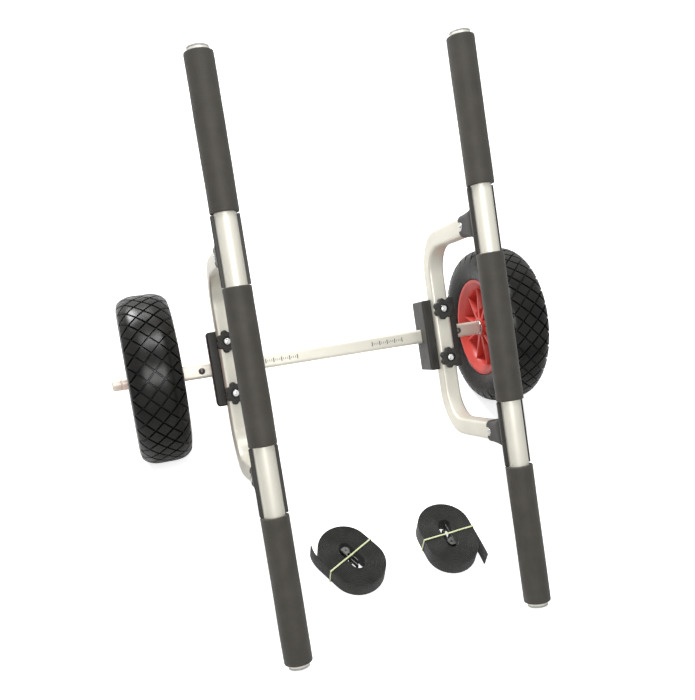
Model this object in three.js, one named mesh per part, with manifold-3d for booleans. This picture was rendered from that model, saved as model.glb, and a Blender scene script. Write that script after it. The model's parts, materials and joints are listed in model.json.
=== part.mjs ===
// A kayak cart: two foam-padded bunks on bent bows, clamped to a square crossbar that carries two
// wheels with spoked hubs. It stands tipped forward, on its wheels and the lower ends of its bunks,
// with its two rolled tie-down straps beside it.
import * as THREE from 'three';
import Module from 'manifold-3d';
import { mergeVertices } from 'three/addons/utils/BufferGeometryUtils.js';

const wasm = await Module();
wasm.setup();

// Driving dimensions in millimetres. In the cart's own frame X runs along the axle, Y along the
// bunks and Z square to both, and the origin is the middle of the axle.

// Clearances and overruns
const fit = 0.3; // between pieces that touch
const slideFit = 0.4; // between the crossbar and what slides on it
const overrun = 2; // how far a cutting tool runs past a face
const weld = 0.0001; // points closer than this are one

// Crossbar, a square tube with rounded corners
const barWidth = 22;
const barCorner = 4;
const barWall = 2;
const barHalf = 246;

// Axle carriers, square tubes with a solid head, held in the bar's ends by snap buttons
const carrierWall = 1.5;
const carrierCorner = 2.2;
const carrierReach = 92;
const carrierPlug = 24;
const headLength = 6;
const headRound = 5;

// Snap buttons on a leaf that bends at its inboard end
const buttonInset = 34; // from the bar's end
const buttonRadius = 4.1;
const buttonHole = 5.1;
const buttonProud = 3.4;
const buttonFlange = 5.6;
const flangeThickness = 0.7;
const leafThickness = 0.8;
const leafWidth = 8;
const leafReach = 44;
const leafBend = 3;
const leafAxisZ = 1;

// Axles and their outer caps
const axleRadius = 8;
const axleInsert = 20;
const capRadius = 9.8;
const capLength = 23;
const capGroove = 0.8;
const capGrooveAt = 8;
const capChamfer = 1.6;

// Wheels
const hubClearance = 1.7; // between a carrier's head and the hub
const tyreRadius = 127;
const tyreHalfWidth = 38.4;
const treadHalfWidth = 36;
const treadDrop = 14;
const grooveDepth = 2.6;
const grooveHalfWidth = 1.5;
const beadInset = 3.6;

// Radii of the wheel, as shares of the tyre's
const shoulderShare = 0.81;
const beadShare = 0.67;
const flangeShare = 0.63;
const seatShare = 0.535;
const dishShare = 0.457;
const webShare = 0.41;

// Hubs, moulded in one piece
const flangeOuter = 32;
const flangeInner = 28.5;
const seatHalfWidth = 24;
const lipWidth = 5;
const rimWall = 3.5;
const dishHalfWidth = 9;
const webHalfThickness = 2.2;
const bossWall = 12;
const bossHalfLength = 30;
const bossWebReach = 4;
const spokeThickness = 4.6;
const spokeRootDepth = 3; // into the boss
const spokeShoulderReach = 3; // from the boss
const spokeTipReach = 2; // into the rim
const spokeRootInset = 3;
const spokeShoulderInset = 6;
const spokeTipHalfWidth = 12;

// Plain bearings, pressed into the hub's ends
const bearingRadius = 11;
const bearingWidth = 11;

// Bunk tubes
const bunkInset = 73.5; // from the bar's end
const bunkZ = 249;
const tubeRadius = 14;
const tubeWall = 1.5;
const tubeHalf = 389;

// Foam sleeves
const foamRadius = 18.75;
const foamChamfer = 1.5;
const middleFoamHalf = 100.5;
const outerFoamStart = 191.5;
const outerFoamSetback = 4; // from the tube's end

// End plugs of the bunk tubes
const plugDepth = 14;
const plugRim = 2.4;
const plugChamfer = 0.8;

// Bows, bent from a square tube with rounded corners
const bowWidth = 22;
const bowDepth = 20;
const bowCorner = 5;
const bowWall = 1.8;
const bowFootZ = 41;
const bowBend = 56;
const legTopZ = 222;

// Brackets, each a socket for a bow's leg under a half-round saddle for the bunk
const saddleWall = 4.7;
const saddleEndGap = 1.4;
const saddleRimZ = 1.2;
const socketBottomZ = 193;
const socketTopZ = 236;
const socketWall = 2.5;
const socketSpreadX = 2.2;
const socketSpreadIn = 7;
const socketSpreadOut = 3;
const notchRadius = 6.4;

// Bracket bolts, through the sockets and the legs
const legBoltZ = 199;
const legBoltRadius = 3;
const legBoltHead = 5;
const legBoltHeadHeight = 3.4;
const legNutRadius = 5.2;
const legNutHeight = 4.6;

// Clamp blocks
const blockHalfWidth = 24.5;
const blockHalfLength = 56;
const blockBottomZ = 20;
const blockWallZ = 40;
const blockChamfer = 3.5;
const blockEndRound = 4;

// Clamp bolts and star knobs
const knobY = 38.7;
const boltRadius = 5;
const boltDome = 2.8;
const boltHeadRadius = 9;
const boltHeadHeight = 7;
const knobRadius = 15.6;
const knobLobe = 1.7;
const knobHeight = 12;
const knobRound = 1.6;
const knobFootHeight = 3;
const knobFootRadius = 11.5;
const knobRecessRadius = 6.9;
const knobRecessDepth = 4;

// Rolled straps: webbing wound round its cam buckle and held by a rubber band
const webbingWidth = 25;
const webbingThickness = 2.4;
const rollPitch = 2.95;
const rollStraight = 30;
const rollCore = 9.5;
const tailLength = 36;
const bandThickness = 1.2;
const bandWidth = 2.4;
const leftRollX = -61;
const leftRollY = -314;
const leftRollTurn = 118;
const leftTailBend = 32;
const rightRollX = 88;
const rightRollY = -315;
const rightRollTurn = -86;
const rightTailBend = 4;

// Cam buckles
const buckleLength = 36;
const buckleBaseY = 3;
const buckleBase = 1.8;
const buckleFrame = 4;
const buckleWindow = 10;
const buckleEar = 1.6;
const earLength = 12;
const earReach = 9;
const camRadius = 3.2;
const leverLength = 24;
const leverThickness = 1.6;
const leverPin = 1.5;

// Counts and facets
const treadCount = 24;
const treadAcross = 3;
const crownPower = 4;
const spokeCount = 10;
const rollLoops = 10;
const tailSteps = 3;
const rollArcSteps = 7;
const knobLobes = 7;
const knobSteps = 4;
const roundFacets = 16;
const smallFacets = 10;
const cornerSteps = 2;
const bendSteps = 4;
const bandSteps = 1;
const bandFacets = 6;
const hexSides = 6;

// Derived places
const full = Math.PI * 2;
const quarter = Math.PI / 2;
const degree = Math.PI / 180;
const carrierWidth = barWidth - 2 * (barWall + fit / 2);
const carrierStart = barHalf - carrierReach;
const headStart = barHalf + fit;
const headEnd = headStart + headLength;
const axleStart = barHalf - axleInsert;
const buttonX = barHalf - buttonInset;
const bunkX = barHalf - bunkInset;
const outerFoamEnd = tubeHalf - outerFoamSetback;
const wheelX = headEnd + hubClearance + bossHalfLength;
const wheelOuter = wheelX + tyreHalfWidth;
const capStart = wheelX + bossHalfLength + fit;
const axleEnd = wheelOuter + capLength - capChamfer;
const shoulderRadius = tyreRadius * shoulderShare;
const beadRadius = tyreRadius * beadShare;
const flangeRadius = tyreRadius * flangeShare;
const seatRadius = tyreRadius * seatShare;
const dishRadius = tyreRadius * dishShare;
const webRadius = tyreRadius * webShare;
const bossRadius = bearingRadius + bossWall;
const gapCentre = (middleFoamHalf + outerFoamStart) / 2;
const saddleHalf = (outerFoamStart - middleFoamHalf) / 2 - saddleEndGap;
const bowBottomZ = bowFootZ - bowDepth / 2;
const bowTopZ = bowFootZ + bowDepth / 2;
const channelZ = bowBottomZ - fit;
const knobFootZ = bowTopZ + fit;
const knobTopZ = knobFootZ + knobHeight;
const boltEndZ = knobTopZ - boltDome;

// The lowest corner of a bunk's end plug and the tyres touch the ground together.
const plugEndY = tubeHalf + fit + plugRim;
const plugEndZ = bunkZ - tubeRadius + plugChamfer;
const tilt = Math.atan2(plugEndZ, plugEndY) + Math.asin(tyreRadius / Math.hypot(plugEndY, plugEndZ));

// Materials
function finish(color, roughness, metalness) {
  return new THREE.MeshStandardMaterial({ color, roughness, metalness });
}
const aluminium = finish('#d9dad6', 0.35, 0.9);
const steel = finish('#c9cbcb', 0.25, 1);
const blackPlastic = finish('#3f3e3b', 0.55, 0);
const foam = finish('#4a4844', 0.95, 0);
const tyreRubber = finish('#1b1918', 0.8, 0);
const redPlastic = finish('#c8372f', 0.45, 0);
const webbing = finish('#3a3a36', 0.9, 0);
const bandRubber = finish('#e4e7b0', 0.6, 0);
const greyPlastic = finish('#b9bab8', 0.5, 0);

// Turns a geometry's triangles into one welded, outward-facing indexed mesh.
function welded(geometry) {
  const bare = geometry.clone();
  for (const name of Object.keys(bare.attributes)) {
    if (name !== 'position') bare.deleteAttribute(name);
  }
  const merged = mergeVertices(bare, weld);
  const index = [];
  for (let i = 0; i < merged.index.count; i += 3) {
    const [a, b, c] = [0, 1, 2].map((k) => merged.index.getX(i + k));
    if (a !== b && b !== c && c !== a) index.push(a, b, c);
  }
  const corner = (i) => new THREE.Vector3().fromBufferAttribute(merged.attributes.position, i);
  let volume = 0;
  for (let i = 0; i < index.length; i += 3) {
    volume += corner(index[i]).dot(corner(index[i + 1]).cross(corner(index[i + 2])));
  }
  if (volume < 0) index.reverse();
  merged.setIndex(index);
  return merged;
}

function solid(geometry) {
  const mesh = welded(geometry);
  return new wasm.Manifold(new wasm.Mesh({
    numProp: 3,
    vertProperties: new Float32Array(mesh.attributes.position.array),
    triVerts: new Uint32Array(mesh.index.array),
  }));
}

function unsolid(manifold) {
  const mesh = manifold.getMesh();
  const geometry = new THREE.BufferGeometry();
  geometry.setAttribute('position', new THREE.BufferAttribute(new Float32Array(mesh.vertProperties), 3));
  geometry.setIndex(new THREE.BufferAttribute(new Uint32Array(mesh.triVerts), 1));
  return geometry;
}

// Cuts tools from a body, then joins others to it.
function carve(body, tools, additions = []) {
  let result = solid(body);
  for (const tool of tools) result = result.subtract(solid(tool));
  for (const addition of additions) result = result.add(solid(addition));
  return unsolid(result);
}

// Skins rings of points. A hollow skin joins its last ring to its first, and a solid one is capped.
function skin(rings, hollow) {
  const size = rings[0].length;
  const positions = rings.flat().flatMap((point) => [point.x, point.y, point.z]);
  const index = [];
  const spans = hollow ? rings.length : rings.length - 1;
  for (let i = 0; i < spans; i += 1) {
    const near = i * size;
    const far = ((i + 1) % rings.length) * size;
    for (let j = 0; j < size; j += 1) {
      const next = (j + 1) % size;
      index.push(near + j, near + next, far + next, near + j, far + next, far + j);
    }
  }
  if (!hollow) {
    const last = (rings.length - 1) * size;
    for (let j = 1; j < size - 1; j += 1) {
      index.push(0, j + 1, j, last, last + j, last + j + 1);
    }
  }
  const geometry = new THREE.BufferGeometry();
  geometry.setAttribute('position', new THREE.Float32BufferAttribute(positions, 3));
  geometry.setIndex(index);
  return welded(geometry);
}

// The corners of a rounded rectangle, as points round its middle.
function roundedSection(width, height, radius, steps = cornerSteps) {
  const points = [];
  for (let side = 0; side < 4; side += 1) {
    const signX = side === 0 || side === 3 ? 1 : -1;
    const signY = side < 2 ? 1 : -1;
    for (let i = 0; i <= steps; i += 1) {
      const angle = quarter * (side + i / steps);
      const x = signX * (width / 2 - radius) + radius * Math.cos(angle);
      const y = signY * (height / 2 - radius) + radius * Math.sin(angle);
      points.push(new THREE.Vector2(x, y));
    }
  }
  return points;
}

// A square tube along X, from one end to the other.
function squareTube(width, corner, wall, start, end) {
  const outer = roundedSection(width, width, corner);
  const inner = roundedSection(width - 2 * wall, width - 2 * wall, Math.max(corner - wall, corner / 4));
  const ring = (section, x) => section.map((point) => new THREE.Vector3(x, point.x, point.y));
  return skin([ring(outer, start), ring(outer, end), ring(inner, end), ring(inner, start)], true);
}

function squareBar(width, corner, start, end) {
  const section = roundedSection(width, width, corner);
  return skin([start, end].map((x) => section.map((p) => new THREE.Vector3(x, p.x, p.y))), false);
}

// A body turned about an axis from [radius, along] pairs; a profile off the axis closes on itself.
function turned(profile, axis, facets = smallFacets) {
  const points = profile.map(([radius, along]) => new THREE.Vector2(radius, along));
  const onAxis = points[0].x === 0 && points[points.length - 1].x === 0;
  if (!onAxis) points.push(points[0].clone());
  const geometry = new THREE.LatheGeometry(points, facets);
  if (axis === 'x') geometry.rotateZ(-quarter);
  if (axis === 'z') geometry.rotateX(quarter);
  return welded(geometry);
}

function rod(radius, start, end, axis, facets = smallFacets) {
  return turned([[0, start], [radius, start], [radius, end], [0, end]], axis, facets);
}

function box(x0, x1, y0, y1, z0, z1) {
  const geometry = new THREE.BoxGeometry(x1 - x0, y1 - y0, z1 - z0);
  return geometry.translate((x0 + x1) / 2, (y0 + y1) / 2, (z0 + z1) / 2);
}

function mesh(name, geometry, material, parent) {
  const made = new THREE.Mesh(welded(geometry), material);
  made.name = name;
  parent.add(made);
  return made;
}

// Mirrors a geometry built for the right-hand side to the left.
function sided(geometry, side) {
  return side < 0 ? welded(geometry.clone().scale(-1, 1, 1)) : geometry;
}

// Crossbar and axle carriers
function crossbar() {
  const holes = [1, -1].map((side) =>
    rod(buttonHole, 0, barWidth, 'z').translate(side * buttonX, 0, 0));
  return carve(squareTube(barWidth, barCorner, barWall, -barHalf, barHalf), holes);
}

function axleCarrier() {
  const tube = squareTube(carrierWidth, carrierCorner, carrierWall, carrierStart, barHalf - carrierPlug);
  const plug = squareBar(carrierWidth, carrierCorner, barHalf - carrierPlug - weld, headStart);
  const narrow = barWidth - 2 * headRound * (1 - Math.cos(quarter / 2));
  const head = skin([
    [barWidth, barCorner, headStart],
    [barWidth, barCorner, headEnd - headRound],
    [barWidth - headRound * (1 - Math.cos(quarter / 2)), barCorner, headEnd - headRound * (1 - Math.sin(quarter / 2))],
    [narrow - headRound * Math.cos(quarter / 2), barCorner / 2, headEnd],
  ].map(([width, corner, x]) => roundedSection(width, width, corner).map((p) => new THREE.Vector3(x, p.x, p.y))), false);
  const bore = rod(axleRadius + fit, axleStart - fit, headEnd + overrun, 'x', roundFacets);
  const hole = rod(buttonHole, 0, barWidth, 'z').translate(buttonX, 0, 0);
  const joined = unsolid(solid(tube).add(solid(plug)).add(solid(head)));
  return carve(joined, [bore, hole]);
}

// Snap button on the upper leaf, and the lower leaf with the bend that carries it
const leafAxisX = buttonX - leafReach;
const carrierInner = carrierWidth / 2 - carrierWall;
const flangeTopZ = carrierInner - fit;
const leafTopZ = flangeTopZ - flangeThickness;
const leafBottomZ = leafTopZ - leafThickness;

function leaf(points) {
  const profile = new THREE.Shape(points.map(([x, z]) => new THREE.Vector2(x, z)));
  const geometry = new THREE.ExtrudeGeometry(profile, { depth: leafWidth, bevelEnabled: false });
  return welded(geometry.translate(0, 0, -leafWidth / 2).rotateX(quarter));
}

function snapButton() {
  const top = barWidth / 2 + buttonProud;
  const shoulder = barWidth / 2 + buttonProud / 4;
  const dome = [1, 2, 3].map((k) => {
    const angle = (quarter * k) / 4;
    return [buttonRadius * Math.cos(angle), shoulder + (top - shoulder) * Math.sin(angle)];
  });
  const button = turned([
    [0, leafBottomZ], [buttonFlange, leafBottomZ], [buttonFlange, flangeTopZ], [buttonRadius, flangeTopZ],
    [buttonRadius, shoulder], ...dome, [0, top],
  ], 'z');
  const start = leafAxisX + fit;
  const bendTop = leafAxisZ + leafBend / 2;
  const arm = leaf([
    [start, bendTop], [start, bendTop - leafThickness], [buttonX, leafBottomZ], [buttonX, leafTopZ],
  ]);
  return carve(button.translate(buttonX, 0, 0), [], [arm]);
}

function snapSpring() {
  const outer = leafBend;
  const inner = leafBend - leafThickness;
  const arc = (radius, flip) => [0, 1, 2, 3, 4].map((k) => {
    const angle = quarter * (1 + (flip ? 4 - k : k) / 2);
    return [leafAxisX + radius * Math.cos(angle), leafAxisZ - leafBend / 2 + radius * Math.sin(angle)];
  });
  const floor = -carrierInner + fit;
  const end = buttonX + buttonFlange;
  return leaf([
    ...arc(outer, false), [end, floor], [end, floor + leafThickness], ...arc(inner, true),
  ]);
}

// Axle and outer cap
function axle() {
  return rod(axleRadius, axleStart, axleEnd - capChamfer - fit, 'x');
}

function axleCap() {
  const end = axleEnd + capChamfer;
  const groove = wheelOuter + capGrooveAt;
  return turned([
    [axleRadius + fit, capStart], [capRadius, capStart], [capRadius, groove],
    [capRadius - capGroove, groove + capGroove], [capRadius, groove + 2 * capGroove],
    [capRadius, end - capChamfer], [capRadius - capChamfer, end],
    [0, end], [0, axleEnd - capChamfer], [axleRadius + fit, axleEnd - capChamfer],
  ], 'x', roundFacets);
}

// Tyre: raised diamonds between grooves that run both ways round the crown
function tyre() {
  const points = [];
  const triangles = [];
  const spot = (x, radius, turn) => {
    const angle = (full * turn) / treadCount;
    points.push(new THREE.Vector3(x, radius * Math.cos(angle), radius * Math.sin(angle)));
    return points.length - 1;
  };
  const across = (2 * treadHalfWidth) / treadAcross;
  const crown = (x) => tyreRadius - treadDrop * Math.abs(x / treadHalfWidth) ** crownPower;
  const at = (a, b, depth) => {
    const x = (across * (a - b)) / 2;
    return spot(x, crown(x) - depth, (a + b) / 2);
  };
  const face = (...corners) => {
    for (let i = 1; i < corners.length - 1; i += 1) triangles.push([corners[0], corners[i], corners[i + 1]]);
  };
  const diagonal = Math.hypot(across, (full * tyreRadius) / treadCount) / 2;
  const inset = grooveHalfWidth / diagonal;
  for (let j = 0; j < treadCount; j += 1) {
    for (let d = -treadAcross; d <= treadAcross; d += 1) {
      const b = j - Math.floor(d / 2);
      const a = b + d;
      const [low, high] = [inset, 1 - inset];
      if (Math.abs(d) < treadAcross) {
        const pad = [[low, low], [high, low], [high, high], [low, high]].map(([u, v]) => at(a + u, b + v, 0));
        const rim = [[0, 0], [1, 0], [1, 1], [0, 1]].map(([u, v]) => at(a + u, b + v, grooveDepth));
        face(...pad);
        for (let k = 0; k < 4; k += 1) face(rim[k], rim[(k + 1) % 4], pad[(k + 1) % 4], pad[k]);
      } else {
        // A half diamond, cut off by the edge of the tread
        const inward = d > 0 ? [0, 1] : [1, 0];
        const tip = d > 0 ? [low, high] : [high, low];
        const edge = [inset, 1 - inset].map((t) => at(a + t, b + t, 0));
        const rim = [at(a, b, grooveDepth), at(a + inward[0], b + inward[1], grooveDepth), at(a + 1, b + 1, grooveDepth)];
        const top = at(a + tip[0], b + tip[1], 0);
        const order = d > 0 ? 1 : -1;
        const put = (...corners) => face(...(order > 0 ? corners : corners.reverse()));
        put(edge[0], edge[1], top);
        put(rim[0], edge[0], top, rim[1]);
        put(rim[1], top, edge[1], rim[2]);
        const shoulder = [a + b, a + b + 2].map((s) => spot(Math.sign(d) * tyreHalfWidth, shoulderRadius, s / 2));
        put(shoulder[0], edge[0], rim[0]);
        put(shoulder[0], shoulder[1], edge[1], edge[0]);
        put(shoulder[1], rim[2], edge[1]);
      }
    }
  }
  const side = [
    [tyreHalfWidth, shoulderRadius], [tyreHalfWidth - beadInset, beadRadius],
    [flangeOuter + fit, flangeRadius + 2 * fit],
    [flangeInner - fit, flangeRadius + fit], [flangeInner - fit, seatRadius + fit],
  ];
  const profile = [...side, ...side.map(([x, radius]) => [-x, radius]).reverse()];
  const offset = treadAcross % 2 ? 1 / 2 : 0;
  for (let i = 0; i < treadCount; i += 1) {
    for (let k = 0; k < profile.length - 1; k += 1) {
      const [near, far] = [profile[k], profile[k + 1]];
      const corners = [[near, i], [near, i + 1], [far, i + 1], [far, i]];
      face(...corners.map(([[x, radius], t]) => spot(x, radius, t + offset)).reverse());
    }
  }
  const geometry = new THREE.BufferGeometry();
  geometry.setAttribute('position', new THREE.Float32BufferAttribute(points.flatMap((p) => [p.x, p.y, p.z]), 3));
  geometry.setIndex(triangles.flat());
  return welded(geometry);
}

// Hub: a boss for the bearings, wedge-shaped spokes and a dished rim with flanges for the tyre
function hub() {
  const both = (half) => [...half, ...half.map(([radius, x]) => [radius, -x]).reverse()];
  const boss = turned(both([
    [bearingRadius - overrun, bossHalfLength - bearingWidth], [bearingRadius + fit, bossHalfLength - bearingWidth],
    [bearingRadius + fit, bossHalfLength], [bossRadius, bossHalfLength],
    [bossRadius, webHalfThickness], [bossRadius + bossWebReach, webHalfThickness],
  ]), 'x', roundFacets);
  const rim = turned(both([
    [webRadius, webHalfThickness], [dishRadius, dishHalfWidth], [seatRadius - rimWall, seatHalfWidth],
    [flangeRadius - lipWidth, flangeOuter], [flangeRadius, flangeOuter], [flangeRadius, flangeInner],
    [seatRadius, flangeInner],
  ]), 'x', treadCount);
  const edge = [
    [bossRadius - spokeRootDepth, bossHalfLength - spokeRootInset],
    [bossRadius + spokeShoulderReach, bossHalfLength - spokeShoulderInset],
    [dishRadius + spokeTipReach, spokeTipHalfWidth],
  ];
  const outline = new THREE.Shape(both(edge).map(([radius, x]) => new THREE.Vector2(x, radius)));
  const spokes = Array.from({ length: spokeCount }, (_, i) => {
    const spoke = new THREE.ExtrudeGeometry(outline, { depth: spokeThickness, bevelEnabled: false });
    return spoke.translate(0, 0, -spokeThickness / 2).rotateX((full * i) / spokeCount);
  });
  return carve(boss, [], [rim, ...spokes]);
}

function bearing(end) {
  const [near, far] = [end - bearingWidth + fit, end];
  const bore = (axleRadius + fit) / Math.cos(Math.PI / roundFacets);
  return turned([[bore, near], [bearingRadius, near], [bearingRadius, far], [bore, far]], 'x', roundFacets);
}

// Bunk: tube, foam sleeves and end plugs
function bunkTube() {
  return turned([
    [tubeRadius - tubeWall, -tubeHalf], [tubeRadius, -tubeHalf], [tubeRadius, tubeHalf], [tubeRadius - tubeWall, tubeHalf],
  ], 'y', roundFacets);
}

function sleeve(start, end) {
  return turned([
    [tubeRadius + fit, start], [foamRadius - foamChamfer, start], [foamRadius, start + foamChamfer],
    [foamRadius, end - foamChamfer], [foamRadius - foamChamfer, end], [tubeRadius + fit, end],
  ], 'y', roundFacets);
}

function endPlug() {
  const rim = tubeHalf + fit;
  const body = tubeRadius - tubeWall - fit;
  return turned([
    [0, tubeHalf - plugDepth], [body, tubeHalf - plugDepth], [body, rim], [tubeRadius, rim], [tubeRadius, rim + plugRim - plugChamfer],
    [tubeRadius - plugChamfer, rim + plugRim], [0, rim + plugRim],
  ], 'y', roundFacets);
}

// Bow: one tube bent twice, drilled for its clamp and bracket bolts
function bow() {
  const stations = [];
  const cornerY = gapCentre - bowBend;
  stations.push([gapCentre, legTopZ, 0]);
  for (let i = 0; i <= bendSteps; i += 1) {
    const angle = (quarter * i) / bendSteps;
    stations.push([cornerY + bowBend * Math.cos(angle), bowFootZ + bowBend - bowBend * Math.sin(angle), angle]);
  }
  for (let i = bendSteps; i >= 0; i -= 1) {
    const angle = Math.PI - (quarter * i) / bendSteps;
    stations.push([-cornerY + bowBend * Math.cos(angle), bowFootZ + bowBend - bowBend * Math.sin(angle), angle]);
  }
  stations.push([-gapCentre, legTopZ, Math.PI]);
  const ring = (section, [y, z, angle]) => section.map((point) =>
    new THREE.Vector3(point.x, y + point.y * Math.cos(angle), z - point.y * Math.sin(angle)));
  const outer = roundedSection(bowWidth, bowDepth, bowCorner);
  const inner = roundedSection(bowWidth - 2 * bowWall, bowDepth - 2 * bowWall, bowCorner - bowWall);
  const rings = [...stations.map((s) => ring(outer, s)), ...stations.map((s) => ring(inner, s)).reverse()];
  const tools = [];
  for (const side of [1, -1]) {
    tools.push(rod(boltRadius + fit, bowBottomZ - overrun, bowTopZ + overrun, 'z').translate(0, side * knobY, 0));
    tools.push(rod(legBoltRadius + fit, -bowWidth, bowWidth, 'x').translate(0, side * gapCentre, legBoltZ));
  }
  return carve(skin(rings, true), tools);
}

// Bracket for the leg at +Y; its socket flares more towards the middle of the cart
function bracket() {
  const outer = tubeRadius + fit + saddleWall;
  const saddle = solid(turned([
    [tubeRadius + fit, gapCentre - saddleHalf], [outer, gapCentre - saddleHalf],
    [outer, gapCentre + saddleHalf], [tubeRadius + fit, gapCentre + saddleHalf],
  ], 'y', roundFacets).translate(0, 0, bunkZ));
  const upper = solid(box(-2 * outer, 2 * outer, 0, 2 * gapCentre, bunkZ - saddleRimZ, bunkZ + 2 * outer));
  const footX = bowWidth / 2 + fit + socketWall;
  const footY = bowDepth / 2 + fit + socketWall;
  const section = (halfX, low, high, z) => roundedSection(2 * halfX, high - low, bowCorner).map((p) =>
    new THREE.Vector3(p.x, p.y + (low + high) / 2, z));
  const body = solid(skin([
    section(footX, gapCentre - footY, gapCentre + footY, socketBottomZ),
    section(footX, gapCentre - footY, gapCentre + footY, legBoltZ + notchRadius),
    section(footX + socketSpreadX, gapCentre - footY - socketSpreadIn, gapCentre + footY + socketSpreadOut, socketTopZ),
  ], false));
  const bore = solid(turned([[0, 0], [tubeRadius + fit, 0], [tubeRadius + fit, 2 * gapCentre], [0, 2 * gapCentre]], 'y', roundFacets)
    .translate(0, 0, bunkZ));
  const cavity = roundedSection(bowWidth + 2 * fit, bowDepth + 2 * fit, bowCorner).map((p) => [p.x, p.y + gapCentre]);
  const socket = solid(skin([socketBottomZ - overrun, legTopZ + fit].map((z) =>
    cavity.map(([x, y]) => new THREE.Vector3(x, y, z))), false));
  const notch = solid(rod(notchRadius, -2 * footX, -bowWidth / 2, 'x').translate(0, gapCentre, legBoltZ));
  const mouth = solid(box(-2 * footX, -bowWidth / 2, gapCentre - notchRadius, gapCentre + notchRadius,
    socketBottomZ - overrun, legBoltZ));
  const hole = solid(rod(legBoltRadius + fit, 0, 2 * footX, 'x').translate(0, gapCentre, legBoltZ));
  return unsolid(saddle.subtract(upper).add(body).subtract(bore).subtract(socket)
    .subtract(notch).subtract(mouth).subtract(hole));
}

function legBolt() {
  const face = bowWidth / 2 + fit;
  const nutFace = bowWidth / 2 + fit + socketWall + fit;
  const head = [1, 2].map((k) => {
    const angle = (quarter * k) / 3;
    return [legBoltHead * Math.cos(angle), -face - legBoltHeadHeight * Math.sin(angle)];
  });
  const bolt = turned([
    [0, -face - legBoltHeadHeight], ...head.reverse(), [legBoltHead, -face], [legBoltRadius, -face],
    [legBoltRadius, nutFace + legNutHeight + fit], [0, nutFace + legNutHeight + fit],
  ], 'x');
  const nut = rod(legNutRadius, nutFace, nutFace + legNutHeight, 'x', hexSides);
  return carve(bolt, [], [nut]);
}

// Clamp block: a channel for the bow over a square bore for the crossbar
function clampBlock() {
  const profile = new THREE.Shape([
    [-blockHalfWidth + blockChamfer, -blockBottomZ], [blockHalfWidth - blockChamfer, -blockBottomZ],
    [blockHalfWidth, -blockBottomZ + blockChamfer], [blockHalfWidth, blockWallZ - 2 * blockChamfer],
    [blockHalfWidth - blockChamfer, blockWallZ], [bowWidth / 2 + fit, blockWallZ],
    [bowWidth / 2 + fit, channelZ], [-bowWidth / 2 - fit, channelZ], [-bowWidth / 2 - fit, blockWallZ],
    [-blockHalfWidth + blockChamfer, blockWallZ], [-blockHalfWidth, blockWallZ - 2 * blockChamfer],
    [-blockHalfWidth, -blockBottomZ + blockChamfer],
  ].map(([x, z]) => new THREE.Vector2(x, z)));
  const body = new THREE.ExtrudeGeometry(profile, { depth: 2 * blockHalfLength, bevelEnabled: false });
  body.rotateX(quarter).translate(0, blockHalfLength, 0);
  const tools = [squareBar(barWidth + 2 * slideFit, barCorner, -2 * blockHalfWidth, 2 * blockHalfWidth)];
  for (const side of [1, -1]) {
    tools.push(rod(boltRadius + fit, -2 * blockBottomZ, 2 * channelZ, 'z').translate(0, side * knobY, 0));
    tools.push(rod(boltHeadRadius + fit, -2 * blockBottomZ, -blockBottomZ + boltHeadHeight, 'z', hexSides)
      .translate(0, side * knobY, 0));
    const rounding = new THREE.Shape();
    const end = blockHalfLength;
    const edge = blockHalfWidth;
    for (const way of [1, -1]) {
      const corner = [[end - blockEndRound, edge], [end, edge - blockEndRound], [end + overrun, edge + overrun]];
      const outline = corner.map(([y, x]) => new THREE.Vector2(way * x, side * y));
      const cutter = new THREE.ExtrudeGeometry(new THREE.Shape(outline), { depth: 2 * (blockBottomZ + blockWallZ), bevelEnabled: false });
      tools.push(welded(cutter.translate(0, 0, -2 * blockBottomZ)));
    }
  }
  return carve(body, tools);
}

function clampBolt() {
  const dome = [1, 2, 3].map((k) => {
    const angle = (quarter * k) / 4;
    return [boltRadius * Math.cos(angle), boltEndZ + boltDome * Math.sin(angle)];
  });
  const under = -blockBottomZ + boltHeadHeight - fit;
  const shank = turned([[0, -blockBottomZ + fit], [boltRadius, -blockBottomZ + fit], [boltRadius, boltEndZ], ...dome,
    [0, boltEndZ + boltDome]], 'z');
  return carve(shank, [], [rod(boltHeadRadius, -blockBottomZ + fit, under, 'z', hexSides)]);
}

// Star knob: seven lobes round a recess that shows the end of the bolt
function starKnob() {
  const count = knobLobes * knobSteps;
  const ring = (radius, lobe, z) => Array.from({ length: count }, (_, i) => {
    const angle = (full * i) / count;
    const reach = radius + lobe * Math.cos(knobLobes * angle);
    return new THREE.Vector3(reach * Math.cos(angle), reach * Math.sin(angle), z);
  });
  const bore = boltRadius + fit;
  return skin([
    ring(bore, 0, knobFootZ), ring(knobFootRadius, 0, knobFootZ),
    ring(knobRadius, knobLobe, knobFootZ + knobFootHeight), ring(knobRadius, knobLobe, knobTopZ - knobRound),
    ring(knobRadius - knobRound, knobLobe, knobTopZ), ring(knobRecessRadius, 0, knobTopZ),
    ring(knobRecessRadius, 0, knobTopZ - knobRecessDepth), ring(bore, 0, knobTopZ - knobRecessDepth),
  ], true);
}

// Strap roll: webbing wound round a flat core, outwards and clockwise, with a short loose tail
const rollLift = bandThickness + fit;
const rollTop = rollLift + webbingWidth;

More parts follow.
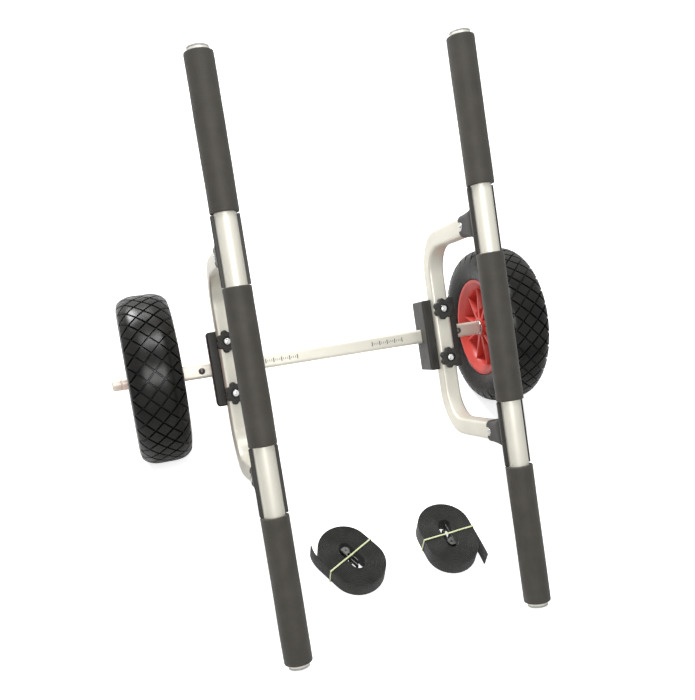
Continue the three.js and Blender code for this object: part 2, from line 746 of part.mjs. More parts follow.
function rollLine(tailBend) {
  const line = [];
  for (let halfTurn = 0; halfTurn < 2 * rollLoops; halfTurn += 1) {
    const centre = (halfTurn % 2 ? -1 : 1) * rollStraight / 2;
    for (let i = 0; i <= rollArcSteps; i += 1) {
      const turn = (halfTurn + i / rollArcSteps) / 2;
      const angle = quarter - full * turn;
      const reach = rollCore + rollPitch * turn;
      line.push(new THREE.Vector2(centre + reach * Math.cos(angle), reach * Math.sin(angle)));
    }
  }
  line.push(new THREE.Vector2(rollStraight / 2, line[line.length - 1].y));
  for (let i = 1; i <= tailSteps; i += 1) {
    const heading = -tailBend * degree * (i / tailSteps) ** 2;
    const step = new THREE.Vector2(Math.cos(heading), Math.sin(heading)).multiplyScalar(tailLength / tailSteps);
    line.push(line[line.length - 1].clone().add(step));
  }
  return line;
}

function rollRings(line) {
  return line.map((point, i) => {
    const before = line[Math.max(i - 1, 0)];
    const after = line[Math.min(i + 1, line.length - 1)];
    const along = after.clone().sub(before).normalize();
    const side = new THREE.Vector2(-along.y, along.x).multiplyScalar(webbingThickness / 2);
    const [left, right] = [point.clone().add(side), point.clone().sub(side)];
    return [
      new THREE.Vector3(left.x, left.y, rollLift), new THREE.Vector3(right.x, right.y, rollLift),
      new THREE.Vector3(right.x, right.y, rollTop), new THREE.Vector3(left.x, left.y, rollTop),
    ];
  });
}

// The least gap between turns of the roll, from the corners of one turn to the faces of the others
function leastRollGap(rings) {
  let least = Infinity;
  const flat = (point) => new THREE.Vector2(point.x, point.y);
  for (let i = 0; i < rings.length; i += 1) {
    for (const corner of [flat(rings[i][0]), flat(rings[i][1])]) {
      for (let j = 0; j < rings.length - 1; j += 1) {
        if (Math.abs(i - j) <= rollArcSteps) continue;
        for (const face of [0, 1]) {
          const [a, b] = [flat(rings[j][face]), flat(rings[j + 1][face])];
          const span = b.clone().sub(a);
          const share = Math.max(0, Math.min(1, corner.clone().sub(a).dot(span) / span.lengthSq()));
          least = Math.min(least, a.addScaledVector(span, share).distanceTo(corner));
        }
      }
    }
  }
  return least;
}

// The rubber band stands across the roll: under it, up both of its flat sides and over its top.
function rubberBand() {
  const half = bandThickness / 2;
  const outermost = rollCore + rollPitch * rollLoops + webbingThickness / 2;
  const high = outermost + fit + half;
  const low = -(outermost - rollPitch / 2) - fit - half;
  const [bottom, top] = [half, rollTop + fit + half];
  const outline = roundedSection(high - low, top - bottom, half + fit, bandSteps);
  const section = [[1, 1], [-1, 1], [-1, -1], [1, -1]].map(([x, y]) =>
    new THREE.Vector2(x * half, y * bandWidth / 2));
  const rings = outline.map((point, i) => {
    const before = outline[(i + outline.length - 1) % outline.length];
    const after = outline[(i + 1) % outline.length];
    const along = after.clone().sub(before).normalize();
    return section.map((corner) => new THREE.Vector3(corner.y, point.x + (high + low) / 2 + along.y * corner.x,
      point.y + (top + bottom) / 2 - along.x * corner.x));
  });
  return skin(rings, true);
}

// Cam buckle: a windowed base plate with two ears that hold the lever's pin
const buckleHalf = buckleLength / 2;
const pivotX = buckleHalf - earLength / 2;
const pivotY = buckleBaseY - fit - camRadius;
const earFaces = [rollLift + buckleEar, rollTop - buckleEar];

function buckle() {
  const plate = box(-buckleHalf, buckleHalf, buckleBaseY, buckleBaseY + buckleBase, rollLift, rollTop);
  const windowStart = -buckleHalf + buckleFrame;
  const slots = [windowStart, windowStart + buckleWindow + buckleFrame].map((x) => box(x, x + buckleWindow,
    buckleBaseY - overrun, buckleBaseY + buckleBase + overrun, rollLift + buckleFrame, rollTop - buckleFrame));
  const ears = [[rollLift, earFaces[0]], [earFaces[1], rollTop]].map(([low, high]) =>
    box(buckleHalf - earLength, buckleHalf, buckleBaseY - earReach, buckleBaseY + buckleBase / 2, low, high));
  const pinHole = rod(leverPin + fit, rollLift - overrun, rollTop + overrun, 'z').translate(pivotX, pivotY, 0);
  return carve(carve(plate, slots, ears), [pinHole]);
}

function lever() {
  const [low, high] = [earFaces[0] + fit, earFaces[1] - fit];
  const cam = rod(camRadius, low, high, 'z').translate(pivotX, pivotY, 0);
  const pin = rod(leverPin, rollLift, rollTop, 'z').translate(pivotX, pivotY, 0);
  const face = pivotY - camRadius;
  return carve(box(pivotX - leverLength, pivotX, face, face + leverThickness, low, high), [], [cam, pin]);
}

// Assembly, in the cart's own frame
const cart = new THREE.Group();
cart.rotation.x = tilt;

mesh('crossbar', crossbar(), aluminium, cart);
for (const [side, name] of [[-1, 'left'], [1, 'right']]) {
  mesh(`${name}_axle_carrier`, sided(axleCarrier(), side), aluminium, cart);
  mesh(`${name}_snap_button`, sided(snapButton(), side), steel, cart);
  mesh(`${name}_snap_spring`, sided(snapSpring(), side), steel, cart);
  mesh(`${name}_axle`, sided(axle(), side), steel, cart);
  mesh(`${name}_axle_cap`, sided(axleCap(), side), aluminium, cart);

  const wheel = new THREE.Group();
  wheel.position.x = side * wheelX;
  cart.add(wheel);
  const tread = mesh(`${name}_tyre`, tyre(), tyreRubber, wheel);
  tread.rotation.x = treadAcross % 2 ? full / treadCount / 2 : 0; // its facets then meet the hub's
  mesh(`${name}_hub`, hub(), redPlastic, wheel);
  mesh(`${name}_outer_bearing`, sided(bearing(bossHalfLength), side), steel, wheel);
  mesh(`${name}_inner_bearing`, sided(bearing(bossHalfLength), -side), steel, wheel);

  const bunk = new THREE.Group();
  bunk.position.x = side * bunkX;
  cart.add(bunk);
  mesh(`${name}_clamp_block`, clampBlock(), blackPlastic, bunk);
  mesh(`${name}_bow`, bow(), aluminium, bunk);
  const rail = new THREE.Group();
  rail.position.z = bunkZ;
  bunk.add(rail);
  mesh(`${name}_bunk_tube`, bunkTube(), aluminium, rail);
  mesh(`${name}_middle_foam`, sleeve(-middleFoamHalf, middleFoamHalf), foam, rail);
  for (const [way, end] of [[1, 'upper'], [-1, 'lower']]) {
    const turn = way < 0 ? Math.PI : 0;
    const outerFoam = mesh(`${name}_${end}_foam`, sleeve(outerFoamStart, outerFoamEnd), foam, rail);
    outerFoam.rotation.z = turn;
    const plug = mesh(`${name}_${end}_plug`, endPlug(), greyPlastic, rail);
    plug.rotation.z = turn;
    const flipped = way < 0 ? welded(bracket().scale(1, -1, 1)) : bracket();
    mesh(`${name}_${end}_bracket`, flipped, blackPlastic, bunk);
    const bolt = mesh(`${name}_${end}_bracket_bolt`, legBolt(), steel, bunk);
    bolt.position.set(0, way * gapCentre, legBoltZ);
    const clamp = mesh(`${name}_${end}_clamp_bolt`, clampBolt(), steel, bunk);
    clamp.position.y = way * knobY;
    const knob = mesh(`${name}_${end}_knob`, starKnob(), blackPlastic, bunk);
    knob.position.y = way * knobY;
  }
}

// Rolled straps on the ground
const ground = new THREE.Group();
ground.position.z = -tyreRadius;
for (const [name, x, y, turn, tailBend] of [
  ['left', leftRollX, leftRollY, leftRollTurn, leftTailBend],
  ['right', rightRollX, rightRollY, rightRollTurn, rightTailBend],
]) {
  const roll = new THREE.Group();
  roll.position.set(x, y, 0);
  roll.rotation.z = turn * degree;
  ground.add(roll);
  const rings = rollRings(rollLine(tailBend));
  console.log(`least gap between the turns of the ${name} strap roll: ${leastRollGap(rings).toFixed(2)} mm`);
  mesh(`${name}_strap_webbing`, skin(rings, false), webbing, roll);
  mesh(`${name}_cam_buckle`, buckle(), steel, roll);
  mesh(`${name}_cam_lever`, lever(), steel, roll);
  mesh(`${name}_rubber_band`, rubberBand(), bandRubber, roll);
}

// The whole part stands with the middle of its footprint's box at the origin.
const part = new THREE.Group();
const placed = new THREE.Group();
placed.add(cart, ground);
part.add(placed);
part.updateMatrixWorld(true);
const bounds = new THREE.Box3().setFromObject(placed, true);
placed.position.set(-(bounds.min.x + bounds.max.x) / 2, -(bounds.min.y + bounds.max.y) / 2, -bounds.min.z);

export default part;
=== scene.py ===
# %% [markdown]
# # A kayak cart, dressed piece by piece
#
# The solid model fixes where every piece is. Here each piece that shows gets a finer surface and
# a finish: anodised tube, nylon mouldings, foam, tyre rubber, red polypropylene, woven webbing.
# Lengths are written in millimetres, the way a workshop drawing has them, and turned to metres
# when a piece is placed.

# %% Load the solid model
import json
import math

import bmesh
import bpy
import numpy as np
from mathutils import Matrix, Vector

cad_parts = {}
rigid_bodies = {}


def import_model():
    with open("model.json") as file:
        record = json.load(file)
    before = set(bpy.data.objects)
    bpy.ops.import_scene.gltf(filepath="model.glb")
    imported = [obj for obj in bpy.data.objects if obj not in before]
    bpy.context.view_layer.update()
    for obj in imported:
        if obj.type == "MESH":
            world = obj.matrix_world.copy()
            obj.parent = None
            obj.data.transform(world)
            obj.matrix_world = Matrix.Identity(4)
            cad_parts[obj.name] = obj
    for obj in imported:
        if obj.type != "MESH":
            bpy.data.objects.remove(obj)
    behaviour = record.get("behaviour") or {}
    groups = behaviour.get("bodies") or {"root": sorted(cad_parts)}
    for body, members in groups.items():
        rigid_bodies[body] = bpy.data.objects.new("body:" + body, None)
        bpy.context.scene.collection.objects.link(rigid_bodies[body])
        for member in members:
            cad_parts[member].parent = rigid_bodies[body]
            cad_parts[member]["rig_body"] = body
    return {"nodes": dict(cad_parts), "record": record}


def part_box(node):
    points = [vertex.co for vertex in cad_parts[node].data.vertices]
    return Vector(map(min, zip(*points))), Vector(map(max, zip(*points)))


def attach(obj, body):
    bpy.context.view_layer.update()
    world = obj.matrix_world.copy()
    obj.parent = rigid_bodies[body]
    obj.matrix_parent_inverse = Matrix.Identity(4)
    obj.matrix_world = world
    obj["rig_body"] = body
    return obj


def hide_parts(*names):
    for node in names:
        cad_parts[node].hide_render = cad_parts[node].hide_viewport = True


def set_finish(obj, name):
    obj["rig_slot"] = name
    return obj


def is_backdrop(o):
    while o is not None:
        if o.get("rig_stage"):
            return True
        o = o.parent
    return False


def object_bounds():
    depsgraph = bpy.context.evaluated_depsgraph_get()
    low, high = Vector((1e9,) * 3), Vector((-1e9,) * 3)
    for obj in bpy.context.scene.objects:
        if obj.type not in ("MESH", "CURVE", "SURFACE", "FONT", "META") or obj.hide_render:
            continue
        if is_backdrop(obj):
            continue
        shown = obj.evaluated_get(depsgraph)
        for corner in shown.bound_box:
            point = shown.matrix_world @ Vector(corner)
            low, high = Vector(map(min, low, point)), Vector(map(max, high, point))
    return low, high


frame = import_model()
cad_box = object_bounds()
nodes = frame["nodes"]

# %% [markdown]
# ## Where the cart is
#
# The cart leans forward on its wheels and the lower ends of its bunks, so nothing on it is square
# to the ground. It is far easier to draw a piece upright and turn it once. Two facts from the
# solid model fix that turn: the middle of a hub is on the axle, and the two knobs of one clamp
# lie along the bunk's direction.


# %% The cart's own frame, and the ground's
def middle(node):
    """The middle of a node's box, in metres."""
    low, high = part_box(node)
    return (np.array(low) + np.array(high)) / 2


AXLE = middle("right_hub") * [0, 1, 1]
BUNK_WAY = middle("right_upper_knob") - middle("right_lower_knob")
TILT = math.atan2(BUNK_WAY[2], BUNK_WAY[1])
# Turns a point from the cart's own upright frame to the way the cart leans.
LEAN = np.array([[1, 0, 0],
                 [0, math.cos(TILT), -math.sin(TILT)],
                 [0, math.sin(TILT), math.cos(TILT)]])


def on_cart(points):
    """Millimetres along the axle, along the bunks and square to both, turned and put in metres."""
    return np.asarray(points, float) / 1000 @ LEAN.T + AXLE


def on_ground(points):
    """Millimetres from the point under the axle's middle, with the third above the floor."""
    return np.asarray(points, float) / 1000 + AXLE * [0, 1, 0]


print("the cart leans", round(math.degrees(TILT), 2), "degrees")

# %% [markdown]
# ## Grids of points
#
# Nearly every piece is a grid: rings of points carried along the piece, with a quad between each
# four neighbours. A grid can close round its rings, along its rings, or both. A ring that shrinks
# to one point closes an end, and merging doubles then leaves a clean pole.


# %% From a grid to an object
NOTHING = 1e-6  # a length under this counts as none
CREASE = 35.0  # degrees: a sharper fold than this is shaded as an edge
SIDES = ((-1, "left"), (1, "right"))
ENDS = (("upper", 1), ("lower", -1))


def grid_faces(rows, columns, close_rows=False):
    """Quads between neighbouring points of a grid that closes round its columns."""
    row = np.arange(rows if close_rows else rows - 1)[:, None]
    column = np.arange(columns)[None, :]
    next_row, next_column = (row + 1) % rows, (column + 1) % columns
    corners = [row * columns + column, row * columns + next_column,
               next_row * columns + next_column, next_row * columns + column]
    return np.stack(np.broadcast_arrays(*corners), -1).reshape(-1, 4)


def loop_uvs(faces, uv, wrap):
    """A surface coordinate for each face corner, with the last column carried past the seam."""
    at = uv[faces]
    for axis, length in enumerate(wrap):
        if length:
            first = at[:, :1, axis]
            at[:, :, axis] += length * np.round((first - at[:, :, axis]) / length)
    return at


def piece(name, grids, material, body, slot, replaces=(), crease=CREASE):
    """One object from several grids, each (points in metres, faces, surface coordinates, wrap)."""
    points, faces, uvs, start = [], [], [], 0
    for p, f, uv, wrap in grids:
        points.append(p.reshape(-1, 3))
        faces.append(f + start)
        uvs.append(loop_uvs(f, uv.reshape(-1, 2), wrap))
        start += len(points[-1])
    mesh = bpy.data.meshes.new(name)
    mesh.from_pydata(np.concatenate(points), [], np.concatenate(faces).tolist())
    layer = mesh.uv_layers.new(name="surface")
    layer.data.foreach_set("uv", np.concatenate(uvs).reshape(-1).astype(np.float32))
    tidy = bmesh.new()
    tidy.from_mesh(mesh)
    bmesh.ops.remove_doubles(tidy, verts=tidy.verts, dist=NOTHING)
    bmesh.ops.dissolve_degenerate(tidy, edges=tidy.edges, dist=NOTHING)
    bmesh.ops.recalc_face_normals(tidy, faces=tidy.faces)
    tidy.to_mesh(mesh)
    tidy.free()
    mesh.shade_smooth()
    mesh.set_sharp_from_angle(angle=math.radians(crease))
    mesh.materials.append(material)
    made = bpy.data.objects.new(name, mesh)
    bpy.context.scene.collection.objects.link(made)
    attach(made, body)
    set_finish(made, slot)
    if replaces:
        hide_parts(*replaces)
    return made


# %% Rings, turned shapes and rounded corners
MOST_CUT = 0.499  # of a side, so that the cuts at its two ends never meet


def rounded(corners, cut, steps=5, closed=True):
    """Each corner of an outline becomes a short parabola that starts and ends cut mm from it.

    cut may be one number or one for each corner. An open outline keeps its two ends.
    """
    p = np.asarray(corners, float)
    cut = np.broadcast_to(np.asarray(cut, float), (len(p),))[:, None]
    before, after = np.roll(p, 1, 0) - p, np.roll(p, -1, 0) - p
    reach_before = np.linalg.norm(before, axis=1, keepdims=True)
    reach_after = np.linalg.norm(after, axis=1, keepdims=True)
    start = p + before / reach_before * np.minimum(cut, reach_before * MOST_CUT)
    end = p + after / reach_after * np.minimum(cut, reach_after * MOST_CUT)
    t = np.linspace(0, 1, steps)[None, :, None]
    arcs = (1 - t) ** 2 * start[:, None] + 2 * t * (1 - t) * p[:, None] + t ** 2 * end[:, None]
    if not closed:
        arcs[0], arcs[-1] = p[0], p[-1]
    return arcs.reshape(-1, p.shape[1])


def rounded_square(width, height, radius, steps=6, spread=4):
    """A rectangle's outline with true quarter-circle corners and a few points along each side."""
    quarter = np.linspace(0, math.pi / 2, steps)
    arc = np.stack([np.cos(quarter), np.sin(quarter)], -1) * radius
    turns = [np.array([[1, 0], [0, 1]]), np.array([[0, -1], [1, 0]]),
             np.array([[-1, 0], [0, -1]]), np.array([[0, 1], [-1, 0]])]
    corner = np.array([[1, 1], [-1, 1], [-1, -1], [1, -1]]) * [width / 2 - radius, height / 2 - radius]
    arcs = np.array([corner[k] + arc @ turns[k].T for k in range(4)])
    share = np.arange(1, spread + 1)[:, None] / (spread + 1)
    sides = [arcs[k][-1] * (1 - share) + arcs[(k + 1) % 4][0] * share for k in range(4)]
    return np.concatenate([np.concatenate([arcs[k], sides[k]]) for k in range(4)])


def ring(outline, at, axis):
    """A flat outline put at one place along an axis."""
    return np.insert(np.asarray(outline, float), "xyz".index(axis), at, axis=1)


def filled(points, spacing):
    """The same line with more points, so that long stretches are cut to about the spacing."""
    parts = [points[:1]]
    for a, b in zip(points[:-1], points[1:]):
        count = max(1, int(np.linalg.norm(b - a) // spacing))
        parts.append(a + (b - a) * np.arange(1, count + 1)[:, None] / count)
    return np.concatenate(parts)


def along(points):
    """The distance walked along a line of points, starting from nothing."""
    steps = np.linalg.norm(np.diff(points, axis=0), axis=1)
    return np.concatenate([[0], np.cumsum(steps)])


def turned(profile, axis, centre=(0, 0, 0), steps=64, place=on_cart):
    """A profile of (radius, distance along the axis) turned round one axis of the cart.

    A point at radius r and angle a lands at r cos a and r sin a on the other two axes.
    """
    profile = np.asarray(profile, float)
    angle = np.arange(steps) / steps * 2 * math.pi
    radius, reach = profile[:, :1], profile[:, 1:]
    one, two = radius * np.cos(angle), radius * np.sin(angle)
    three = np.broadcast_to(reach, one.shape)
    order = {"x": (three, one, two), "y": (two, three, one), "z": (one, two, three)}[axis]
    points = np.stack(order, -1) + centre
    closed = profile[0, 0] > NOTHING or profile[-1, 0] > NOTHING
    walked = along(profile)
    around = angle * max(profile[:, 0].max(), NOTHING)
    uv = np.stack(np.broadcast_arrays(around[None, :], walked[:, None]), -1)
    wrap = (2 * math.pi * profile[:, 0].max(), 0)
    return place(points), grid_faces(len(profile), steps, close_rows=closed), uv, wrap


def loft(rings, place=on_cart, close_rows=False, cap=True):
    """Rings of equal numbers of points, skinned. A solid loft is capped by a point at each end."""
    rings = np.asarray(rings, float)
    if not close_rows and cap:
        first, last = rings[0].mean(0), rings[-1].mean(0)
        rings = np.concatenate([np.broadcast_to(first, rings[:1].shape), rings,
                                np.broadcast_to(last, rings[:1].shape)])
    rows, columns = rings.shape[:2]
    closing = np.concatenate([rings[0], rings[0][:1]])
    around = along(closing)
    if around[-1] < NOTHING:
        around = along(np.concatenate([rings[1], rings[1][:1]]))
    walked = along(rings.mean(1))
    uv = np.stack(np.broadcast_arrays(around[None, :-1], walked[:, None]), -1)
    return place(rings), grid_faces(rows, columns, close_rows=close_rows), uv, (around[-1], 0)


# %% [markdown]
# ## Finishes
#
# Every finish starts from what the real surface is. Colours are written the way a colour picker
# shows them and turned to linear light by one function, because the shader works in linear light.


# %% Colour and node helpers
def linear(code):
    """A #rrggbb colour as linear red, green, blue and a full alpha, by the sRGB standard's curve."""
    value = np.array([int(code[i:i + 2], 16) for i in (1, 3, 5)]) / 255
    value = np.where(value <= 0.04045, value / 12.92, ((value + 0.055) / 1.055) ** 2.4)
    return (*value.tolist(), 1.0)


def add(material, kind, inputs=None, **settings):
    """Adds a node, sets its settings, and sets or links its inputs."""
    made = material.node_tree.nodes.new(kind)
    for name, value in settings.items():
        setattr(made, name, value)
    for name, value in (inputs or {}).items():
        if isinstance(value, bpy.types.NodeSocket):
            material.node_tree.links.new(value, made.inputs[name])
        else:
            made.inputs[name].default_value = value
    return made


def finish(name, color, roughness, metallic=0.0, **sockets):
    """A material with one Principled shader, whose colour and roughness may be linked later."""
    material = bpy.data.materials.new(name)
    material.use_nodes = True
    shader = material.node_tree.nodes["Principled BSDF"]
    shader.inputs["Base Color"].default_value = linear(color)
    shader.inputs["Roughness"].default_value = roughness
    shader.inputs["Metallic"].default_value = metallic
    for socket, value in sockets.items():
        shader.inputs[socket.replace("_", " ")].default_value = value
    return material, shader


def link(material, source, shader, socket):
    """Joins a node's output to an input of the shader."""
    material.node_tree.links.new(source, shader.inputs[socket])


def object_space(material):
    """The place of a point in the piece's own space, in metres."""
    return add(material, "ShaderNodeTexCoord").outputs["Object"]


def noise(material, scale, detail, **more):
    """Soft noise between 0 and 1, scale being patches per metre."""
    inputs = {"Vector": object_space(material), "Scale": scale, "Detail": detail, **more}
    return add(material, "ShaderNodeTexNoise", inputs).outputs["Fac"]


def calculate(material, operation, *values):
    """One sum on one or two numbers."""
    return add(material, "ShaderNodeMath", dict(enumerate(values)), operation=operation).outputs["Value"]


def ranged(material, value, low, high, from_low=0.0, from_high=1.0):
    """Maps one range of numbers to another."""
    inputs = {"Value": value, "From Min": from_low, "From Max": from_high, "To Min": low, "To Max": high}
    return add(material, "ShaderNodeMapRange", inputs).outputs["Result"]


def relief(material, shader, height, depth, strength=1.0):
    """Bump from a height between 0 and 1 that stands for depth metres."""
    bump = add(material, "ShaderNodeBump", {"Height": height, "Distance": depth, "Strength": strength})
    link(material, bump.outputs["Normal"], shader, "Normal")


NOISE_SPAN = (0.3, 0.7)  # where nearly all of the noise lies
SHADE_SPAN = (0.35, 0.65)  # the part of it over which a shade turns into the next


def mottle(material, low, high, scale, bounds=SHADE_SPAN):
    """A colour that drifts between two shades with soft noise, and the noise itself."""
    drift = noise(material, scale, 3.0)
    ramp = add(material, "ShaderNodeValToRGB", {"Fac": drift})
    ramp.color_ramp.elements[0].position, ramp.color_ramp.elements[1].position = bounds
    ramp.color_ramp.elements[0].color, ramp.color_ramp.elements[1].color = linear(low), linear(high)
    return ramp.outputs["Color"], drift


def mottled(name, base, roughness, shades, scale, gloss=None, metallic=0.0, bounds=SHADE_SPAN, **sockets):
    """A finish whose colour drifts between two shades and whose roughness, given gloss, drifts with it."""
    material, shader = finish(name, base, roughness, metallic, **sockets)
    color, drift = mottle(material, *shades, scale, bounds)
    link(material, color, shader, "Base Color")
    if gloss:
        link(material, ranged(material, drift, *gloss, *NOISE_SPAN), shader, "Roughness")
    return material, shader


def surface_coordinates(material):
    """The piece's own surface map, in millimetres: round it first, then along it."""
    return add(material, "ShaderNodeUVMap", uv_map="surface").outputs["UV"]


# %% [markdown]
# Anodised aluminium tube: drawn through a die, so it has fine lines along its length, then etched
# and anodised, which softens every reflection to a pale satin. Its lines are far too fine to see,
# so they are drawn about 0.6 mm wide and very faint.


# %% Satin anodised aluminium
def anodised_tube():
    """Pale satin metal whose roughness and relief follow lines drawn out along the tube."""
    material, shader = mottled("anodised_aluminium", "#e2dfd2", 0.45, ("#dedbce", "#e6e3d6"), 14,
                               metallic=0.45)
    drawn_out = (1.6, 0.02, 1)  # lines per millimetre round the tube and along it
    inputs = {"Vector": surface_coordinates(material), "Scale": drawn_out}
    stretch = add(material, "ShaderNodeMapping", inputs)
    inputs = {"Vector": stretch.outputs["Vector"], "Scale": 1.0, "Detail": 2.0}
    lines = add(material, "ShaderNodeTexNoise", inputs).outputs["Fac"]
    link(material, ranged(material, lines, 0.38, 0.5, *NOISE_SPAN), shader, "Roughness")
    relief(material, shader, lines, 0.00002)
    return material


ANODISED = anodised_tube()

# %% [markdown]
# Zinc-plated and stainless fasteners are brighter and smoother than the tube, with a faint mottle
# where the plating is thicker.


# %% Bright plated steel
PLATED, _ = mottled("plated_steel", "#dcdcda", 0.26, ("#d2d2d0", "#e8e8e6"), 120, (0.16, 0.34), 1.0)

# %% [markdown]
# The lock buttons are bare spring steel, darkened by its heat treatment. The strap buckles are
# pressed from strip and zinc plated with no polish, so they are nearly as dark.


# %% Dark steels
SPRING, _ = mottled("spring_steel", "#5e5b56", 0.4, ("#5e5b56", "#767370"), 150, (0.32, 0.48), 0.8)
DULL_ZINC, _ = mottled("dull_zinc", "#545452", 0.4, ("#545452", "#6c6c6a"), 200, (0.32, 0.48), 0.8)

# %% [markdown]
# Glass-filled nylon, for the clamp blocks, brackets and knobs: the mould is spark-eroded, so the
# surface has a fine dull grain.


# %% Black nylon moulding
def black_nylon():
    """Near black, with a grain of 1600 pits to the metre."""
    material, shader = mottled("black_nylon", "#2c2b28", 0.5, ("#282724", "#31302c"), 30, (0.42, 0.56),
                               Specular_IOR_Level=0.4)
    relief(material, shader, noise(material, 1600.0, 3.0), 0.00008, 0.5)
    return material


NYLON = black_nylon()

# %% [markdown]
# Closed-cell foam sleeve: skived from a block, so the skin shows cut cells 0.3 to 1 mm across,
# very matt, warm dark grey, with softer patches where it has been pressed.


# %% Closed-cell foam
def cell_foam():
    """Dark grey, with cut cells and slower lumps added up into one relief."""
    material, shader = mottled("closed_cell_foam", "#3d3a34", 0.6, ("#393630", "#434039"), 45,
                               bounds=NOISE_SPAN, Sheen_Weight=0.05, Sheen_Roughness=0.6,
                               Specular_IOR_Level=0.4)
    inputs = {"Vector": object_space(material), "Scale": 900.0, "Randomness": 1.0}
    cells = add(material, "ShaderNodeTexVoronoi", inputs).outputs["Distance"]
    relief(material, shader, calculate(material, "ADD", cells, noise(material, 90.0, 4.0)), 0.0003, 0.6)
    return material


FOAM = cell_foam()

# %% [markdown]
# Tyre rubber: near black, with the floors of its grooves painted darker than the tops of its
# blocks, as painted shade. The piece carries that height as an attribute.


# %% Tyre rubber
def tyre_rubber():
    """Painted shade: black in the grooves, where the tread attribute is 0, and a little lighter on the
    blocks.
    """
    material, shader = finish("tyre_rubber", "#0c0b0a", 0.27, Specular_IOR_Level=0.2)
    height = add(material, "ShaderNodeAttribute", attribute_name="tread").outputs["Fac"]
    dust = noise(material, 60.0, 6.0, Roughness=0.7)
    shade, _ = mottle(material, "#141312", "#201f1c", 25)
    # Input 0 of a colour mix is its factor, 6 and 7 are its two colours, and output 2 is the result.
    # Painted shade: the groove floors are painted near black, darker than the block tops.
    painted_groove_shade = add(material, "ShaderNodeMix", {0: height, 6: linear("#050505"), 7: shade}, data_type="RGBA")
    link(material, painted_groove_shade.outputs[2], shader, "Base Color")
    link(material, ranged(material, dust, 0.22, 0.33, *NOISE_SPAN), shader, "Roughness")
    relief(material, shader, dust, 0.0002, 0.4)
    return material


TYRE = tyre_rubber()

# %% [markdown]
# Polypropylene hub: injection moulded in bright red, with a soft gloss and the faint waviness of
# a large moulding as it cools.


# %% Red polypropylene
def red_polypropylene():
    """Bright red and softly glossy, with waves of about 6 mm in its surface."""
    material, shader = mottled("red_polypropylene", "#cc3e34", 0.4, ("#c4382f", "#d2443a"), 20, (0.3, 0.42),
                               Subsurface_Weight=0.03)
    relief(material, shader, noise(material, 160.0, 2.0), 0.00012, 0.5)
    return material


HUB_RED = red_polypropylene()

# %% [markdown]
# Polyester webbing: a plain narrow weave. Its warp cords run along the strap about 1 mm apart and
# its weft crosses them every 1.2 mm, so the map that follows the strap draws both.


# %% Woven polyester
WARP_PITCH, WEFT_PITCH = 1.0, 1.2


def woven_polyester():
    """The weave's height is a sine wave across the strap times another along it."""
    material, shader = mottled("woven_polyester", "#262624", 0.85, ("#232321", "#2f2f2c"), 60,
                               Specular_IOR_Level=0.25, Sheen_Weight=0.2)
    place = add(material, "ShaderNodeSeparateXYZ", {"Vector": surface_coordinates(material)})
    turns = [calculate(material, "MULTIPLY", place.outputs[way], 2 * math.pi / pitch)
             for way, pitch in (("X", WARP_PITCH), ("Y", WEFT_PITCH))]
    waves = [calculate(material, "SINE", turn) for turn in turns]
    weave = calculate(material, "MULTIPLY", *waves)
    relief(material, shader, ranged(material, weave, 0.0, 1.0, -1.0, 1.0), 0.00025, 0.7)
    return material


WEBBING = woven_polyester()

# %% [markdown]
# Three small finishes: pale latex for the rubber bands, grey polyethylene for the tube plugs, and
# the dark ink of the width scale on the crossbar.


# %% Latex, polyethylene and ink
LATEX, _ = mottled("latex_band", "#e4e7b0", 0.5, ("#dde0a4", "#ecefc0"), 200, Subsurface_Weight=0.15)
POLYETHYLENE, _ = mottled("grey_polyethylene", "#b9bab8", 0.45, ("#b0b1af", "#c4c5c3"), 80, (0.38, 0.55))
INK, _ = mottled("scale_ink", "#6a6a6c", 0.6, ("#5e5e60", "#77777a"), 300)

# %% The solids that still show take the same finishes
SLOT_FINISH = {"aluminium": ANODISED, "steel": PLATED, "black_plastic": NYLON, "foam": FOAM, "tyre": TYRE,
               "hub": HUB_RED, "webbing": WEBBING, "rubber_band": LATEX, "grey_plastic": POLYETHYLENE}
for part in frame["record"]["subparts"]:
    mesh = nodes[part["node"]].data
    mesh.materials.clear()
    mesh.materials.append(SLOT_FINISH[part["material_slot"]])
print(len(bpy.data.materials), "materials")

# %% [markdown]
# ## The wheels
#
# A puncture-proof wheel: a foamed tyre with a diamond tread on a moulded hub. The tyre is one
# grid, round and across. Two families of slanting grooves cut its crown, and their depth at a
# point comes from how far that point is from the nearest groove line.

# %% The tyre's numbers
WHEEL_X = 284.0
TYRE_RADIUS = 127.0
DIAMONDS_ROUND, DIAMONDS_ACROSS = 32, 3
TREAD_HALF, TREAD_DROP = 36.5, 11.0
GROOVE_DEPTH, GROOVE_HALF, GROOVE_WALL = 2.6, 0.65, 0.7
LINES_PER_DIAMOND = 25
GROOVE_END, GROOVE_FADE = 107.0, 5.0  # grooves run out at this radius, over this much of it
# The flank, as (half width, radius), and how much each corner is cut, the tread's edge first.
SHOULDER = [(38.7, 106.5), (38.6, 100.0), (37.4, 93.0), (34.8, 85.1), (32.3, 80.6), (28.2, 80.3),
            (28.2, 72.9), (22.5, 68.3)]
SHOULDER_CUTS = [0, 3, 6, 6, 3, 1, 0.3, 0.3, 0]
PITCH_ACROSS = 2 * TREAD_HALF / DIAMONDS_ACROSS
PITCH_ROUND = 2 * math.pi * TYRE_RADIUS / DIAMONDS_ROUND


def crown(x):
    """The tread's radius: flat in the middle, and falling as the fourth power of the way to its edge."""
    return TYRE_RADIUS - TREAD_DROP * np.abs(x / TREAD_HALF) ** 4


def line_distances(x, turn):
    """How far a point is from the nearest line of each family, as a share of a diamond.

    turn counts diamonds round the tyre. Lines of one family join points where turn + x / pitch
    is a whole number and a half, and of the other where turn - x / pitch is.
    """
    across = x / PITCH_ACROSS
    values = turn + across + 0.5, turn - across + 0.5
    return [np.abs(value - np.round(value)) for value in values]


